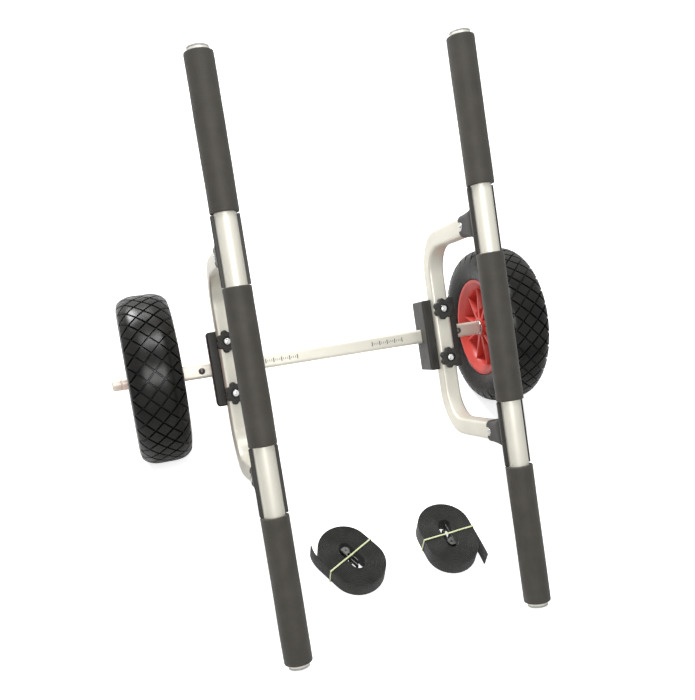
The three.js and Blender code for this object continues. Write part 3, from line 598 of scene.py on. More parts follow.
def groove_share(x, turn):
    """1 on top of a block and 0 on a groove's floor, with a smooth step up the groove's wall.

    The distance to the nearest line in millimetres is its share of a diamond times the width of
    a diamond, measured square to the line.
    """
    square = PITCH_ACROSS * PITCH_ROUND / math.hypot(PITCH_ACROSS, PITCH_ROUND)
    near = np.minimum(*line_distances(x, turn))
    lowest = np.clip((near * square - GROOVE_HALF) / GROOVE_WALL, 0, 1)
    return lowest * lowest * (3 - 2 * lowest)


def split_along_grooves(quads, x, turn):
    """Cuts each quad along the diagonal that runs with the nearer groove, so its walls stay straight."""
    step = 0.5 / LINES_PER_DIAMOND
    first = quads[:, 0]
    rising, falling = line_distances(
        x[first] + step * 2 * TREAD_HALF / DIAMONDS_ACROSS, turn[first] + step)
    a, b, c, d = quads.T
    with_falling = np.stack([a, b, c, a, c, d], -1)
    with_rising = np.stack([a, b, d, b, c, d], -1)
    return np.where((falling <= rising)[:, None], with_falling, with_rising).reshape(-1, 3)


# %% Build the tyres
def tyre_grid(side, steps=DIAMONDS_ROUND * LINES_PER_DIAMOND):
    """One tyre, and the height of its tread from 0 to 1 at every point.

    A point is the crown's or the flank's radius, less the groove's depth where there is one,
    carried round the axle.
    """
    across = np.linspace(-TREAD_HALF, TREAD_HALF, DIAMONDS_ACROSS * LINES_PER_DIAMOND + 1)
    flank = rounded([(TREAD_HALF, crown(TREAD_HALF)), *SHOULDER], SHOULDER_CUTS, 3, closed=False)
    # Each corner gives three points. The tread's edge is already in across, and the last is kept once.
    flank = flank[3:-2]
    x = np.concatenate([-flank[::-1, 0], across, flank[:, 0]])
    base = np.concatenate([flank[::-1, 1], crown(across), flank[:, 1]])
    turn = np.arange(steps) / steps * DIAMONDS_ROUND
    grid_x, grid_turn = np.meshgrid(x, turn, indexing="ij")
    share = groove_share(grid_x, grid_turn)
    edge = np.clip((base[:, None] - GROOVE_END) / GROOVE_FADE, 0, 1)
    radius = base[:, None] - GROOVE_DEPTH * (1 - share) * edge
    angle = grid_turn / DIAMONDS_ROUND * 2 * math.pi
    points = np.stack([grid_x + side * WHEEL_X, radius * np.cos(angle), radius * np.sin(angle)], -1)
    uv = np.stack([angle * TYRE_RADIUS, np.broadcast_to(x[:, None], angle.shape)], -1)
    tread = 1 - (1 - share) * np.broadcast_to(edge, share.shape)
    quads = grid_faces(len(x), steps, close_rows=True)
    faces = split_along_grooves(quads, grid_x.reshape(-1), grid_turn.reshape(-1))
    return (on_cart(points), faces, uv, (2 * math.pi * TYRE_RADIUS, 0)), tread


for side, name in SIDES:
    grid, tread = tyre_grid(side)
    made = piece(f"{name}_tyre_tread", [grid], TYRE, f"{name}_wheel", "tyre", [f"{name}_tyre"], crease=60)
    assert len(made.data.vertices) == tread.size, "the tread's heights no longer fit the tyre's points"
    made.data.attributes.new("tread", "FLOAT", "POINT").data.foreach_set("value", tread.reshape(-1))
    print(made.name, len(made.data.polygons), "faces")

# %% [markdown]
# The hub is one moulding. Seen from the side it is a dish: boss, thin web, cone, lip, flange. Ten
# wedge-shaped spokes stand on it, and the web between them is open. It is drawn as a profile
# turned round the axle, with the columns of points squeezed so that they run along the spokes'
# sides. Where the spoke is higher than the dish, the point moves out to the spoke. The inside
# face is the same sheet mirrored, and walls join the two round each window.

# %% The hub's numbers
SPOKES = 10
# A spoke's radius, height over the middle and half thickness, at the boss and at the rim.
SPOKE_LINE = [(13.0, 27.0, 4.0), (66.4, 24.0, 1.0)]
SPOKE_ROUND = 0.6  # how much lower a spoke is at its sides than along its ridge
SPOKE_SIDE = 0.05  # the share of its half width over which a side falls to the dish
BOSS_EDGE = 0.1  # how far inside the boss's radius a point still counts as on the boss
# The dish from the boss's bore to the tyre's seat, as (radius, height over the middle).
HUB_PROFILE = [(11.3, 19.0), (11.3, 30.0), (16.0, 30.0), (16.3, 10.0), (16.8, 2.2), (52.0, 2.2),
               (58.0, 9.0), (64.4, 24.0), (75.0, 32.0), (80.0, 32.0), (80.0, 28.5), (72.5, 28.5),
               (68.0, 23.0), (68.0, 0.0)]
HUB_CUTS = [0.4, 0.6, 1.2, 0.3, 1.5, 2.0, 3.0, 4.0, 1.5, 0.9, 0.4, 1.5, 1.5, 0.0]
BOSS_RADIUS = HUB_PROFILE[2][0]
WINDOW = (20.0, 51.0)
SAME_POINT = 1e-4


def hub_sheet(columns_window=14):
    """The outer sheet of the hub, as rows from the boss to the seat and columns round it."""
    profile = rounded(HUB_PROFILE, HUB_CUTS, 5, closed=False)
    keep = np.concatenate([[True], np.linalg.norm(np.diff(profile, axis=0), axis=1) > SAME_POINT])
    radius, reach = filled(profile[keep], 2.0).T
    # Columns of one sector, as a share: 0 to 1 over half a spoke, 1 to 2 over the window.
    spoke_share = np.array([0, 0.5, 0.8, 0.9, 0.95, 1.0])
    window_share = 1 + np.linspace(0, 1, columns_window)[1:] ** 1.2
    return radius, reach, np.concatenate([spoke_share, window_share])


def hub_grids(side):
    """One closed hub: the outer sheet, its mirror image, and the walls between them.

    A column's angle is a share of the spoke's half angle up to the spoke's side, and a share of
    the window's beyond it. A point is as high as the dish or the spoke, whichever is more.
    """
    radius, reach, half = hub_sheet()
    spoke_radius, spoke_top, spoke_half = np.array(SPOKE_LINE).T
    sector = 2 * math.pi / SPOKES
    shares = np.concatenate([-half[::-1][:-1], half])[:-1]
    spoke_angle = np.arcsin(np.interp(radius, spoke_radius, spoke_half) / radius)[:, None]
    size = np.abs(shares)[None, :]
    angle = np.where(size <= 1, size * spoke_angle, spoke_angle + (size - 1) * (sector / 2 - spoke_angle))
    angle = angle * np.sign(shares)[None, :]
    top = np.interp(radius, spoke_radius, spoke_top, right=0)[:, None]
    lifted = (top - SPOKE_ROUND * size ** 6) * np.clip((1 - size) / SPOKE_SIDE, 0, 1)
    on_boss = (radius < BOSS_RADIUS - BOSS_EDGE)[:, None]
    depth = np.where(on_boss, reach[:, None], np.maximum(reach[:, None], lifted))
    angles = (angle[:, None, :] + (np.arange(SPOKES) * sector)[None, :, None]).reshape(len(radius), -1)
    depths = np.repeat(depth[:, None, :], SPOKES, 1).reshape(len(radius), -1)
    size_all = np.tile(np.abs(shares), SPOKES)
    rows, columns = angles.shape
    outer = np.stack([depths, radius[:, None] * np.cos(angles), radius[:, None] * np.sin(angles)], -1)
    inner = outer * [-1, 1, 1]
    faces = grid_faces(rows, columns)
    row, column = faces[:, 0] // columns, faces[:, 0] % columns
    between = (radius[row] >= WINDOW[0]) & (radius[np.minimum(row + 1, rows - 1)] <= WINDOW[1])
    open_window = between & (size_all[column] >= 1) & (size_all[(column + 1) % columns] >= 1)
    open_window |= between & (size_all[column] > 1.001)
    kept = faces[~open_window]
    # An edge is loose where no other quad walks it the other way.
    directed = np.concatenate([kept[:, [0, 1]], kept[:, [1, 2]], kept[:, [2, 3]], kept[:, [3, 0]]])
    keys = directed[:, 0] * rows * columns + directed[:, 1]
    back = directed[:, 1] * rows * columns + directed[:, 0]
    rim = directed[~np.isin(keys, back)]
    first_row = (rim // columns == 0).all(1)
    last_row = (rim // columns == rows - 1).all(1)
    shift = rows * columns
    walls = [np.stack([edges[:, 1], edges[:, 0], edges[:, 0] + shift, edges[:, 1] + shift], -1)
             for edges in (rim[~first_row & ~last_row], rim[first_row])]
    points = np.concatenate([outer.reshape(-1, 3), inner.reshape(-1, 3)]) + [side * WHEEL_X, 0, 0]
    all_faces = np.concatenate([kept, kept[:, ::-1] + shift, *walls])
    return [(on_cart(points), all_faces, points[:, 1:], (0, 0))]


for side, name in SIDES:
    made = piece(f"{name}_hub_moulding", hub_grids(side), HUB_RED, f"{name}_wheel", "hub", [f"{name}_hub"],
                 crease=50)
    print(made.name, len(made.data.polygons), "faces")

# %% [markdown]
# Each wheel turns on two plain sleeves pressed into its boss, and a turned aluminium cap closes
# the axle's outer end, with a fine groove round it.


# %% Bearings, axle caps
BORE, SLEEVE_RADIUS, SLEEVE_LENGTH, BOSS_END = 8.3, 11.0, 10.7, 30.0
SLEEVE_PROFILE = rounded([(BORE, BOSS_END - SLEEVE_LENGTH), (SLEEVE_RADIUS, BOSS_END - SLEEVE_LENGTH),
                          (SLEEVE_RADIUS, BOSS_END), (BORE, BOSS_END)], [0.4, 0.5, 0.5, 0.4], 4)
# The cap, as (radius, distance from the cart's middle), with its groove at 331 mm.
CAP_PROFILE = rounded([(8.3, 314.3), (9.8, 314.3), (9.8, 330.2), (9.1, 330.7), (9.1, 331.5), (9.8, 332.0),
                       (9.8, 343.8), (8.2, 345.4), (0.0, 345.4), (0.0, 342.2), (8.3, 342.2)],
                      [0.2, 0.4, 0.3, 0.2, 0.2, 0.3, 0.7, 0.6, 0, 0, 0.1], 4, closed=False)
for side, name in SIDES:
    for end, far in (("outer", side), ("inner", -side)):
        sleeve = turned(SLEEVE_PROFILE * [1, far] + [0, side * WHEEL_X], "x", steps=48)
        piece(f"{name}_{end}_bearing_sleeve", [sleeve], PLATED, f"{name}_wheel", "steel",
              [f"{name}_{end}_bearing"])
    piece(f"{name}_axle_end_cap", [turned(CAP_PROFILE * [1, side], "x", steps=56)], ANODISED, "chassis",
          "aluminium", [f"{name}_axle_cap"])

# %% [markdown]
# ## The crossbar
#
# A square tube with rounded corners. The button holes near its ends go right through its upper
# wall, so they are cut with a Boolean against a plain round cutter, which is then thrown away.
# The same helper can also join two closed surfaces into one skin.

# %% Cutting, joining and the bar's rings
BAR_WIDTH, BAR_CORNER, BAR_WALL, BAR_HALF = 22.0, 4.0, 2.0, 246.0
EDGE_DRAW, EDGE_RUN = 0.5, 0.35  # how much narrower a sawn end is, and over what length
BUTTON_X, BUTTON_HOLE = 212.0, 5.1
HOLE_LOW, HOLE_HIGH = 3, 20  # the cutter's two ends, inside the bore and above the wall


def button_hole(side):
    """The round cutter for one end's button."""
    return rod_grid(BUTTON_HOLE, HOLE_LOW, HOLE_HIGH, "z", (side * BUTTON_X, 0, 0))


def combine(made, grids, operation):
    """Takes closed grids from a piece or adds them, and leaves the result as the piece's own mesh."""
    other = piece("tool", grids, made.data.materials[0], made["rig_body"], made["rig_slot"], crease=180)
    boolean = made.modifiers.new("combine", "BOOLEAN")
    boolean.operation, boolean.object, boolean.solver = operation, other, "EXACT"
    bpy.context.view_layer.update()
    shaped = bpy.data.meshes.new_from_object(made.evaluated_get(bpy.context.evaluated_depsgraph_get()))
    made.modifiers.clear()
    made.data = shaped
    shaped.set_sharp_from_angle(angle=math.radians(CREASE))
    bpy.data.objects.remove(other)


def cut(made, *grids):
    """Takes closed grids from a piece."""
    combine(made, list(grids), "DIFFERENCE")


def rod_grid(radius, start, end, axis, centre=(0, 0, 0), steps=40):
    """A plain closed rod."""
    return turned([(0, start), (radius, start), (radius, end), (0, end)], axis, centre, steps)


def dome_line(radius, start, rise):
    """A dome's side up to just short of its top: an ellipse's quarter, as (radius, height)."""
    turn = np.linspace(0, math.pi / 2, 9)[:-1]
    return [(radius * math.cos(t), start + rise * math.sin(t)) for t in turn]


def bar_ring(x, width, corner):
    """One rounded square across the bar at x."""
    return ring(rounded_square(width, width, corner), x, "x")


def bar_tube(half):
    """Rings out along the outside, slightly smaller at both ends, and back along the bore."""
    small = BAR_WIDTH - EDGE_DRAW
    outer = [(-half, small), (-half + EDGE_RUN, BAR_WIDTH), (half - EDGE_RUN, BAR_WIDTH), (half, small)]
    inner = BAR_WIDTH - 2 * BAR_WALL
    rings = [bar_ring(x, width, BAR_CORNER * width / BAR_WIDTH) for x, width in outer]
    rings += [bar_ring(x, inner, BAR_CORNER - BAR_WALL) for x in (half, -half)]
    return loft(rings, close_rows=True)


crossbar = piece("crossbar_tube", [bar_tube(BAR_HALF)], ANODISED, "chassis", "aluminium", ["crossbar"])
cut(crossbar, button_hole(-1), button_hole(1))
print(crossbar.name, len(crossbar.data.polygons), "faces")

# %% [markdown]
# A width scale is printed on the bar's upper face on each side, so that both clamps can be set
# the same distance out. The strokes are plain, long and short in turn.


# %% The width scale
SCALE_START, SCALE_PITCH, LONG_STROKES = 62, 12.7, 5
LONG, SHORT = (3.4, 1.6), (1.6, 0.8)  # half length and width of a stroke
INK_LOW, INK_HIGH = 0.01, 0.05  # over the bar's face


def stroke(x, half, width):
    """One printed stroke, as a thin closed slab on the bar's upper face."""
    low, high = x - width / 2, x + width / 2
    base = np.array([(low, -half), (high, -half), (high, half), (low, half)])
    return loft([ring(base, BAR_WIDTH / 2 + level, "z") for level in (INK_LOW, INK_HIGH)])


strokes = []
for side in (-1, 1):
    for i in range(LONG_STROKES):
        x = side * (SCALE_START + SCALE_PITCH * i)
        strokes.append(stroke(x, *LONG))
        if i < LONG_STROKES - 1:
            strokes += [stroke(x + side * SCALE_PITCH * share, *SHORT) for share in (0.25, 0.5, 0.75)]
piece("crossbar_width_scale", strokes, INK, "chassis", "aluminium")

# %% [markdown]
# Each axle is held in a carrier that plugs into the bar's end. Its head is square like the bar
# and rounded off at its outer end, and a sprung button locks it through the bar's wall.


# %% Axle carriers
HEAD_START, HEAD_END, HEAD_ROUND = 246.3, 252.3, 6.0
PLUG_START, PLUG_FIT, PLUG_CORNER = 154.0, 0.3, 2.2
CAVITY_END, CAVITY_DRAW, CAVITY_CORNER = 222.0, 3, 0.8  # the hollow that holds the button's spring
AXLE_HOLE, AXLE_HOLE_END = 8.3, 225.7
POLE = 0.01  # the radius of a ring that stands for a closed middle


def carrier_grid(side):
    """Rings from the hollow's closed end out and back over the plug, round the head, and down the bore.

    The head's width falls as a quarter circle does, from the bar's width to its outer end.
    """
    turn = np.linspace(0.15, math.pi / 2, 9)
    head_x = HEAD_END - HEAD_ROUND + HEAD_ROUND * np.sin(turn)
    head_width = BAR_WIDTH - 2 * HEAD_ROUND * (1 - np.cos(turn))
    plug = BAR_WIDTH - 2 * BAR_WALL - PLUG_FIT
    hollow = plug - CAVITY_DRAW

    def flat_ring(x, width):
        """Narrower along the bunks, but nearly as tall as the bar, so the head is rounded in plan."""
        return ring(rounded_square(width, BAR_WIDTH - 0.12 * (BAR_WIDTH - width), BAR_CORNER), x, "x")

    def round_ring(x, radius):
        """A square's points drawn in to a circle, so that it has as many points as the other rings."""
        section = rounded_square(2, 2, 0.3)
        way = section / np.linalg.norm(section, axis=1, keepdims=True)
        return ring(way * radius, x, "x")

    rings = [round_ring(CAVITY_END, POLE), round_ring(CAVITY_END, 6.0),
             bar_ring(CAVITY_END, hollow, CAVITY_CORNER), bar_ring(PLUG_START, hollow, CAVITY_CORNER),
             bar_ring(PLUG_START, plug, PLUG_CORNER), bar_ring(HEAD_START, plug, PLUG_CORNER),
             bar_ring(HEAD_START, BAR_WIDTH - EDGE_DRAW, BAR_CORNER),
             bar_ring(HEAD_START + EDGE_RUN, BAR_WIDTH, BAR_CORNER)]
    rings += [flat_ring(x, width) for x, width in zip(head_x, head_width)]
    rings += [round_ring(HEAD_END, AXLE_HOLE), round_ring(AXLE_HOLE_END, AXLE_HOLE),
              round_ring(AXLE_HOLE_END, POLE)]
    return loft(np.array(rings) * [side, 1, 1], cap=False)


BUTTON_RADIUS, BUTTON_SHOULDER, BUTTON_DOME, BUTTON_TOP = 4.1, 11.8, 2.6, 14.4
FLANGE_RADIUS, FLANGE_LOW, FLANGE_HIGH = 5.6, 5.55, 7.05
# The sprung arm's side, as (distance from the cart's middle, height), and its half width.
ARM_SIDE, ARM_HALF = np.array([(168.3, 2.5), (168.3, 1.7), (210.0, 5.6), (210.0, 6.3)]), 4.0


for side, name in SIDES:
    made = piece(f"{name}_axle_socket", [carrier_grid(side)], ANODISED, "chassis", "aluminium",
                 [f"{name}_axle_carrier"])
    cut(made, button_hole(side))
    dome = dome_line(BUTTON_RADIUS, BUTTON_SHOULDER, BUTTON_DOME)
    button = [(0, FLANGE_LOW), (FLANGE_RADIUS, FLANGE_LOW), (FLANGE_RADIUS, FLANGE_HIGH),
              (BUTTON_RADIUS, FLANGE_HIGH), *dome, (0, BUTTON_TOP)]
    arm = [ring(ARM_SIDE * [side, 1], y, "y") for y in (-ARM_HALF, ARM_HALF)]
    piece(f"{name}_lock_button", [turned(button, "z", (side * BUTTON_X, 0, 0), 40), loft(arm)], SPRING,
          f"{name}_snap_button", "steel", [f"{name}_snap_button"])

# %% [markdown]
# ## The bows
#
# Each bow is one square tube with rounded corners, bent twice in a bending machine. The tube is a
# ring of points carried along a straight leg, a quarter turn, the flat foot, a quarter turn and
# the other leg, and its inside wall is the same path walked back.

# %% Build the bows
BUNK_X, BUNK_Z = 172.5, 249.0
BOW_WIDTH, BOW_CORNER, BOW_WALL = 25.4, 4.0, 1.8
BOW_FOOT, BOW_BEND, LEG_Y, LEG_TOP = 38.3, 56.0, 146.0, 222.0


def bow_path(steps=20):
    """Points (y, z) and headings along the tube's middle, from one leg's top to the other's.

    Straight down the leg, then a quarter circle of radius BOW_BEND, then flat to the middle. The
    other half is its mirror image.
    """
    turn = np.linspace(0, math.pi / 2, steps)
    level = np.linspace(LEG_TOP, BOW_FOOT + BOW_BEND, 8)[:-1]
    leg = np.column_stack([np.full(7, LEG_Y), level, np.zeros(7)])
    bend_y = LEG_Y - BOW_BEND + BOW_BEND * np.cos(turn)
    bend_z = BOW_FOOT + BOW_BEND - BOW_BEND * np.sin(turn)
    bend = np.column_stack([bend_y, bend_z, turn])
    flat_y = np.linspace(LEG_Y - BOW_BEND, 0, 9)[1:]
    flat = np.column_stack([flat_y, np.full(8, BOW_FOOT), np.full(8, math.pi / 2)])
    half = np.concatenate([leg, bend, flat])
    mirrored = half[::-1][1:] * [-1, 1, -1] + [0, 0, math.pi]
    return np.concatenate([half, mirrored])


def bow_rings(x, width, corner):
    """The section carried along the path, each ring square to the path's heading."""
    section = rounded_square(width, width, corner, 7, 3)
    path = bow_path()
    out = np.stack([np.zeros(len(path)), np.cos(path[:, 2]), -np.sin(path[:, 2])], -1)
    middle_line = ring(path[:, :2], x, "x")
    return middle_line[:, None] + section[None, :, :1] * [1, 0, 0] + section[None, :, 1:] * out[:, None]


def bow_grid(x):
    """The outside, and the bore walked back, as one closed surface."""
    outer = bow_rings(x, BOW_WIDTH, BOW_CORNER)
    inner = bow_rings(x, BOW_WIDTH - 2 * BOW_WALL, BOW_CORNER - BOW_WALL)
    return loft(np.concatenate([outer, inner[::-1]]), close_rows=True)


for side, name in SIDES:
    made = piece(f"{name}_bent_bow", [bow_grid(side * BUNK_X)], ANODISED, f"{name}_frame", "aluminium",
                 [f"{name}_bow"])
    print(made.name, len(made.data.polygons), "faces")

# %% [markdown]
# ## The bunks
#
# A round tube under three foam sleeves. The foam is soft, so its outline swells and pinches by a
# fraction of a millimetre along the sleeve, and its cut ends are a little rounded.

# %% Tubes, plugs and foam
TUBE_RADIUS, TUBE_WALL, TUBE_HALF = 14.0, 1.5, 389.0
FOAM_RADIUS, FOAM_BORE = 18.75, 14.3
FOAM_ENDS = {"middle": (-100.5, 100.5), "upper": (191.5, 385.0), "lower": (-385.0, -191.5)}
EASE_START, EASE_LENGTH = 15.5, 3  # the waves grow from nothing over this part of the radius
# A plug's flanged end, as (radius, distance from the bunk's middle).
PLUG_PROFILE = rounded([(0, 375.0), (11.4, 375.0), (12.2, 376.0), (12.2, 389.3), (14.0, 389.3), (14.0, 391.7),
                        (0, 391.7)], [0, 0.4, 0.4, 0.2, 0.2, 0.9, 0], 5, closed=False)
TUBE_BORE = TUBE_RADIUS - TUBE_WALL
TUBE_PROFILE = rounded([(TUBE_BORE, -TUBE_HALF), (TUBE_RADIUS, -TUBE_HALF), (TUBE_RADIUS, TUBE_HALF),
                        (TUBE_BORE, TUBE_HALF)], 0.35, 4)


def sleeve_grid(x, start, end, seed, steps=72):
    """A foam tube whose radius drifts by a sum of six slow sine waves along it and round it."""
    corners = [(FOAM_BORE, start), (FOAM_RADIUS, start), (FOAM_RADIUS, end), (FOAM_BORE, end)]
    profile = filled(rounded(corners, [0.4, 1.6, 1.6, 0.4], 6), 2.5)
    points, faces, uv, wrap = turned(profile, "y", (x, 0, BUNK_Z), steps, place=lambda p: p)
    offset = points - [x, 0, BUNK_Z]
    radius = np.hypot(offset[..., 0], offset[..., 2])
    angle = np.arctan2(offset[..., 2], offset[..., 0])
    draw = np.random.default_rng(seed)
    wave = sum(draw.uniform(0.02, 0.07)
               * np.sin(offset[..., 1] / draw.uniform(9, 34) + k * angle + draw.uniform(0, 6))
               for k in (0, 1, 2, 3, 1, 2))
    ease = np.clip((radius - EASE_START) / EASE_LENGTH, 0, 1)
    scale = 1 + ease * wave / np.maximum(radius, 1)
    points = np.stack([x + offset[..., 0] * scale, points[..., 1], BUNK_Z + offset[..., 2] * scale], -1)
    return on_cart(points), faces, uv, wrap


for side, name in SIDES:
    x = side * BUNK_X
    piece(f"{name}_bunk_rail", [turned(TUBE_PROFILE, "y", (x, 0, BUNK_Z), 72)], ANODISED, f"{name}_frame",
          "aluminium", [f"{name}_bunk_tube"])
    for k, (end, (start, stop)) in enumerate(FOAM_ENDS.items()):
        made = piece(f"{name}_{end}_foam_sleeve", [sleeve_grid(x, start, stop, 11 + 3 * k + side)], FOAM,
                     f"{name}_frame", "foam", [f"{name}_{end}_foam"], crease=60)
    for end, way in ENDS:
        plug = turned(PLUG_PROFILE * [1, way], "y", (x, 0, BUNK_Z), 56)
        piece(f"{name}_{end}_tube_plug", [plug], POLYETHYLENE, f"{name}_frame", "grey_plastic",
              [f"{name}_{end}_plug"])

# %% [markdown]
# ## The brackets
#
# Each bracket is one nylon moulding: a half-round saddle that the bunk tube lies in, over a
# flared socket for the bow's leg. The two shapes are made as closed surfaces and joined with a
# Boolean, so that they are one skin, as the moulding is.

# %% Build the brackets
SADDLE_WALL, SADDLE_HALF, SADDLE_RIM = 4.7, 44.1, 1.2
SOCKET_BOTTOM, SOCKET_TOP, NOTCH_Z, NOTCH_RADIUS = 193.0, 236.0, 199.0, 6.4
SOCKET_CORNER, SOCKET_FOOT = 7.5, BOW_WIDTH / 2 + 2.8
SADDLE_FIT, LEG_FIT, BOLT_HOLE_RADIUS = 0.3, 0.6, 3.3
PAST = 30  # how far a cutter reaches past the leg's middle
# The socket's height, and how much wider it is there on each side along the axle, inwards and outwards.
SOCKET_LEVELS = [(SOCKET_BOTTOM, -0.6, -0.6, -0.6), (SOCKET_BOTTOM + 0.6, 0, 0, 0), (NOTCH_Z + 5, 0, 0, 0),
                 (NOTCH_Z + 11, 0.2, 0.9, 0.5), (SOCKET_TOP - 10, 1.1, 3.6, 1.6), (SOCKET_TOP, 2.2, 7.0, 3.0),
                 (SOCKET_TOP + 5, 1.2, 8.0, 3.4)]


def saddle_grid(x, way):
    """A solid half round with a flat top, which the bunk's bore turns into a half pipe."""
    outer = TUBE_RADIUS + SADDLE_FIT + SADDLE_WALL
    start = math.pi + math.asin(SADDLE_RIM / outer)
    turn = np.linspace(start, 3 * math.pi - start, 48)
    arc = np.column_stack([np.cos(turn), np.sin(turn)]) * outer
    rim = np.array([[outer - 1.0, -SADDLE_RIM + 0.8], [1.0 - outer, -SADDLE_RIM + 0.8]])
    outline = np.concatenate([arc, rim])
    rings = []
    soft = SADDLE_HALF - 0.6
    for y, size in ((-SADDLE_HALF, 0.97), (-soft, 1), (soft, 1), (SADDLE_HALF, 0.97)):
        rings.append(ring(outline * size + [x, BUNK_Z], way * LEG_Y + y, "y"))
    return loft(rings)


def socket_grid(x, way):
    """A rounded rectangle carried upwards, straight round the leg and then flaring into the saddle."""
    rings = []
    for z, wider, inward, outward in SOCKET_LEVELS:
        low, high = -SOCKET_FOOT - inward, SOCKET_FOOT + outward
        section = rounded_square(2 * (SOCKET_FOOT + wider), high - low, SOCKET_CORNER, 7, 3)
        y = way * (LEG_Y + section[:, 1] + (low + high) / 2)
        rings.append(ring(np.column_stack([section[:, 0] + x, y]), z, "z"))
    return loft(rings)


def mouth_cutter(x, way):
    """The notch's open mouth, from the bolt head down through the socket's end."""
    y = way * LEG_Y
    near, far = x - BOW_WIDTH / 2, x - PAST
    low, high = y - NOTCH_RADIUS, y + NOTCH_RADIUS
    section = [(far, low), (near, low), (near, high), (far, high)]
    return loft([ring(section, z, "z") for z in (SOCKET_BOTTOM - 4, NOTCH_Z)])


def leg_cutter(x, way):
    """The bow's leg with its clearance, from under the socket to just over the leg's top."""
    section = rounded_square(BOW_WIDTH + LEG_FIT, BOW_WIDTH + LEG_FIT, BOW_CORNER, 6, 3) + [x, way * LEG_Y]
    return loft([ring(section, z, "z") for z in (SOCKET_BOTTOM - 4, LEG_TOP + 0.3)])


for side, name in SIDES:
    x = side * BUNK_X
    for end, way in ENDS:
        made = piece(f"{name}_{end}_saddle_bracket", [saddle_grid(x, way)], NYLON, f"{name}_frame",
                     "black_plastic", [f"{name}_{end}_bracket"])
        y, bolt_line = way * LEG_Y, (0, way * LEG_Y, NOTCH_Z)
        combine(made, [socket_grid(x, way)], "UNION")
        cut(made, leg_cutter(x, way))
        cut(made, rod_grid(TUBE_RADIUS + SADDLE_FIT, y - 2 * PAST, y + 2 * PAST, "y", (x, 0, BUNK_Z), 72))
        cut(made, rod_grid(NOTCH_RADIUS, x - PAST, x - BOW_WIDTH / 2 - 0.1, "x", bolt_line))
        cut(made, mouth_cutter(x, way))
        cut(made, rod_grid(BOLT_HOLE_RADIUS, x, x + PAST, "x", bolt_line))
        print(made.name, len(made.data.polygons), "faces")

# %% [markdown]
# A bolt holds each bracket to its leg: a domed head with a hexagon socket on one side, a nut on
# the other.


# %% Bracket bolts
def hexagon(radius, x0, x1, centre, axis, soften=0.5):
    """A nut or bolt head: a six-sided prism whose end corners are turned off.

    A side's distance at an angle is the hexagon's inner radius over the cosine of the angle from
    the middle of that side.
    """
    angle = (np.arange(24) + 0.5) / 24 * 2 * math.pi
    fold = np.mod(angle + math.pi / 6, math.pi / 3) - math.pi / 6
    reach = radius * math.cos(math.pi / 6) / np.cos(fold)
    flat = np.minimum(reach, radius * math.cos(math.pi / 6) * 1.02)
    levels = ((x0, flat), (x0 + soften, reach), (x1 - soften, reach), (x1, flat))
    return loft([ring(np.column_stack([size * np.cos(angle), size * np.sin(angle)]), at, axis) + centre
                 for at, size in levels])


# The bolt from its hexagon socket over the domed head to the shank's end, as (radius, distance
# along it from the leg's middle). The head's dome stops short of its top, where the socket is.
HEAD_RADIUS, HEAD_UNDER, HEAD_RISE = 5.0, -13.0, 3.4
HEAD_TURN = np.linspace(0, math.pi / 2 * 0.8, 9)[::-1]
HEAD_DOME = [(HEAD_RADIUS * math.cos(t), HEAD_UNDER - HEAD_RISE * math.sin(t)) for t in HEAD_TURN]
SCREW_PROFILE = [(0, -14.9), (1.9, -14.9), (1.9, -16.2), (2.1, -16.3), *HEAD_DOME, (HEAD_RADIUS, HEAD_UNDER),
                 (3.0, HEAD_UNDER), (3.0, 20.7), (0, 20.7)]
NUT_RADIUS, NUT_START, NUT_END = 5.2, 15.8, 20.4


for side, name in SIDES:
    x = side * BUNK_X
    for end, way in ENDS:
        centre = (x, way * LEG_Y, NOTCH_Z)
        grids = [turned(SCREW_PROFILE, "x", centre, 40), hexagon(NUT_RADIUS, NUT_START, NUT_END, centre, "x")]
        piece(f"{name}_{end}_bracket_screw", grids, PLATED, f"{name}_frame", "steel",
              [f"{name}_{end}_bracket_bolt"])

# %% [markdown]
# ## The clamps
#
# A block under each bow holds the crossbar. Its outline has a channel for the bow, and it is
# carried along the bunk's direction with its outer sides drawn in at both ends.

# %% Clamp blocks
BLOCK_FOOT_X, BLOCK_TOP_X, BLOCK_HALF_Y, BLOCK_BOTTOM, BLOCK_TOP = 23.5, 27.5, 56.0, -20.0, 40.0
CHANNEL_HALF, CHANNEL_Z = BOW_WIDTH / 2 + 0.3, BOW_FOOT - BOW_WIDTH / 2 - 0.3
KNOB_Y = 38.7
END_ROUND, EDGE_SHARE = 4, 0.35  # the ends' rounding, and how much of it the top and bottom take
BAR_FIT = 0.8
BOLT_HOLE, NUT_POCKET, POCKET_TOP, CUT_LOW, CUT_HIGH = 5.3, 9.3, -13.0, -30, 36


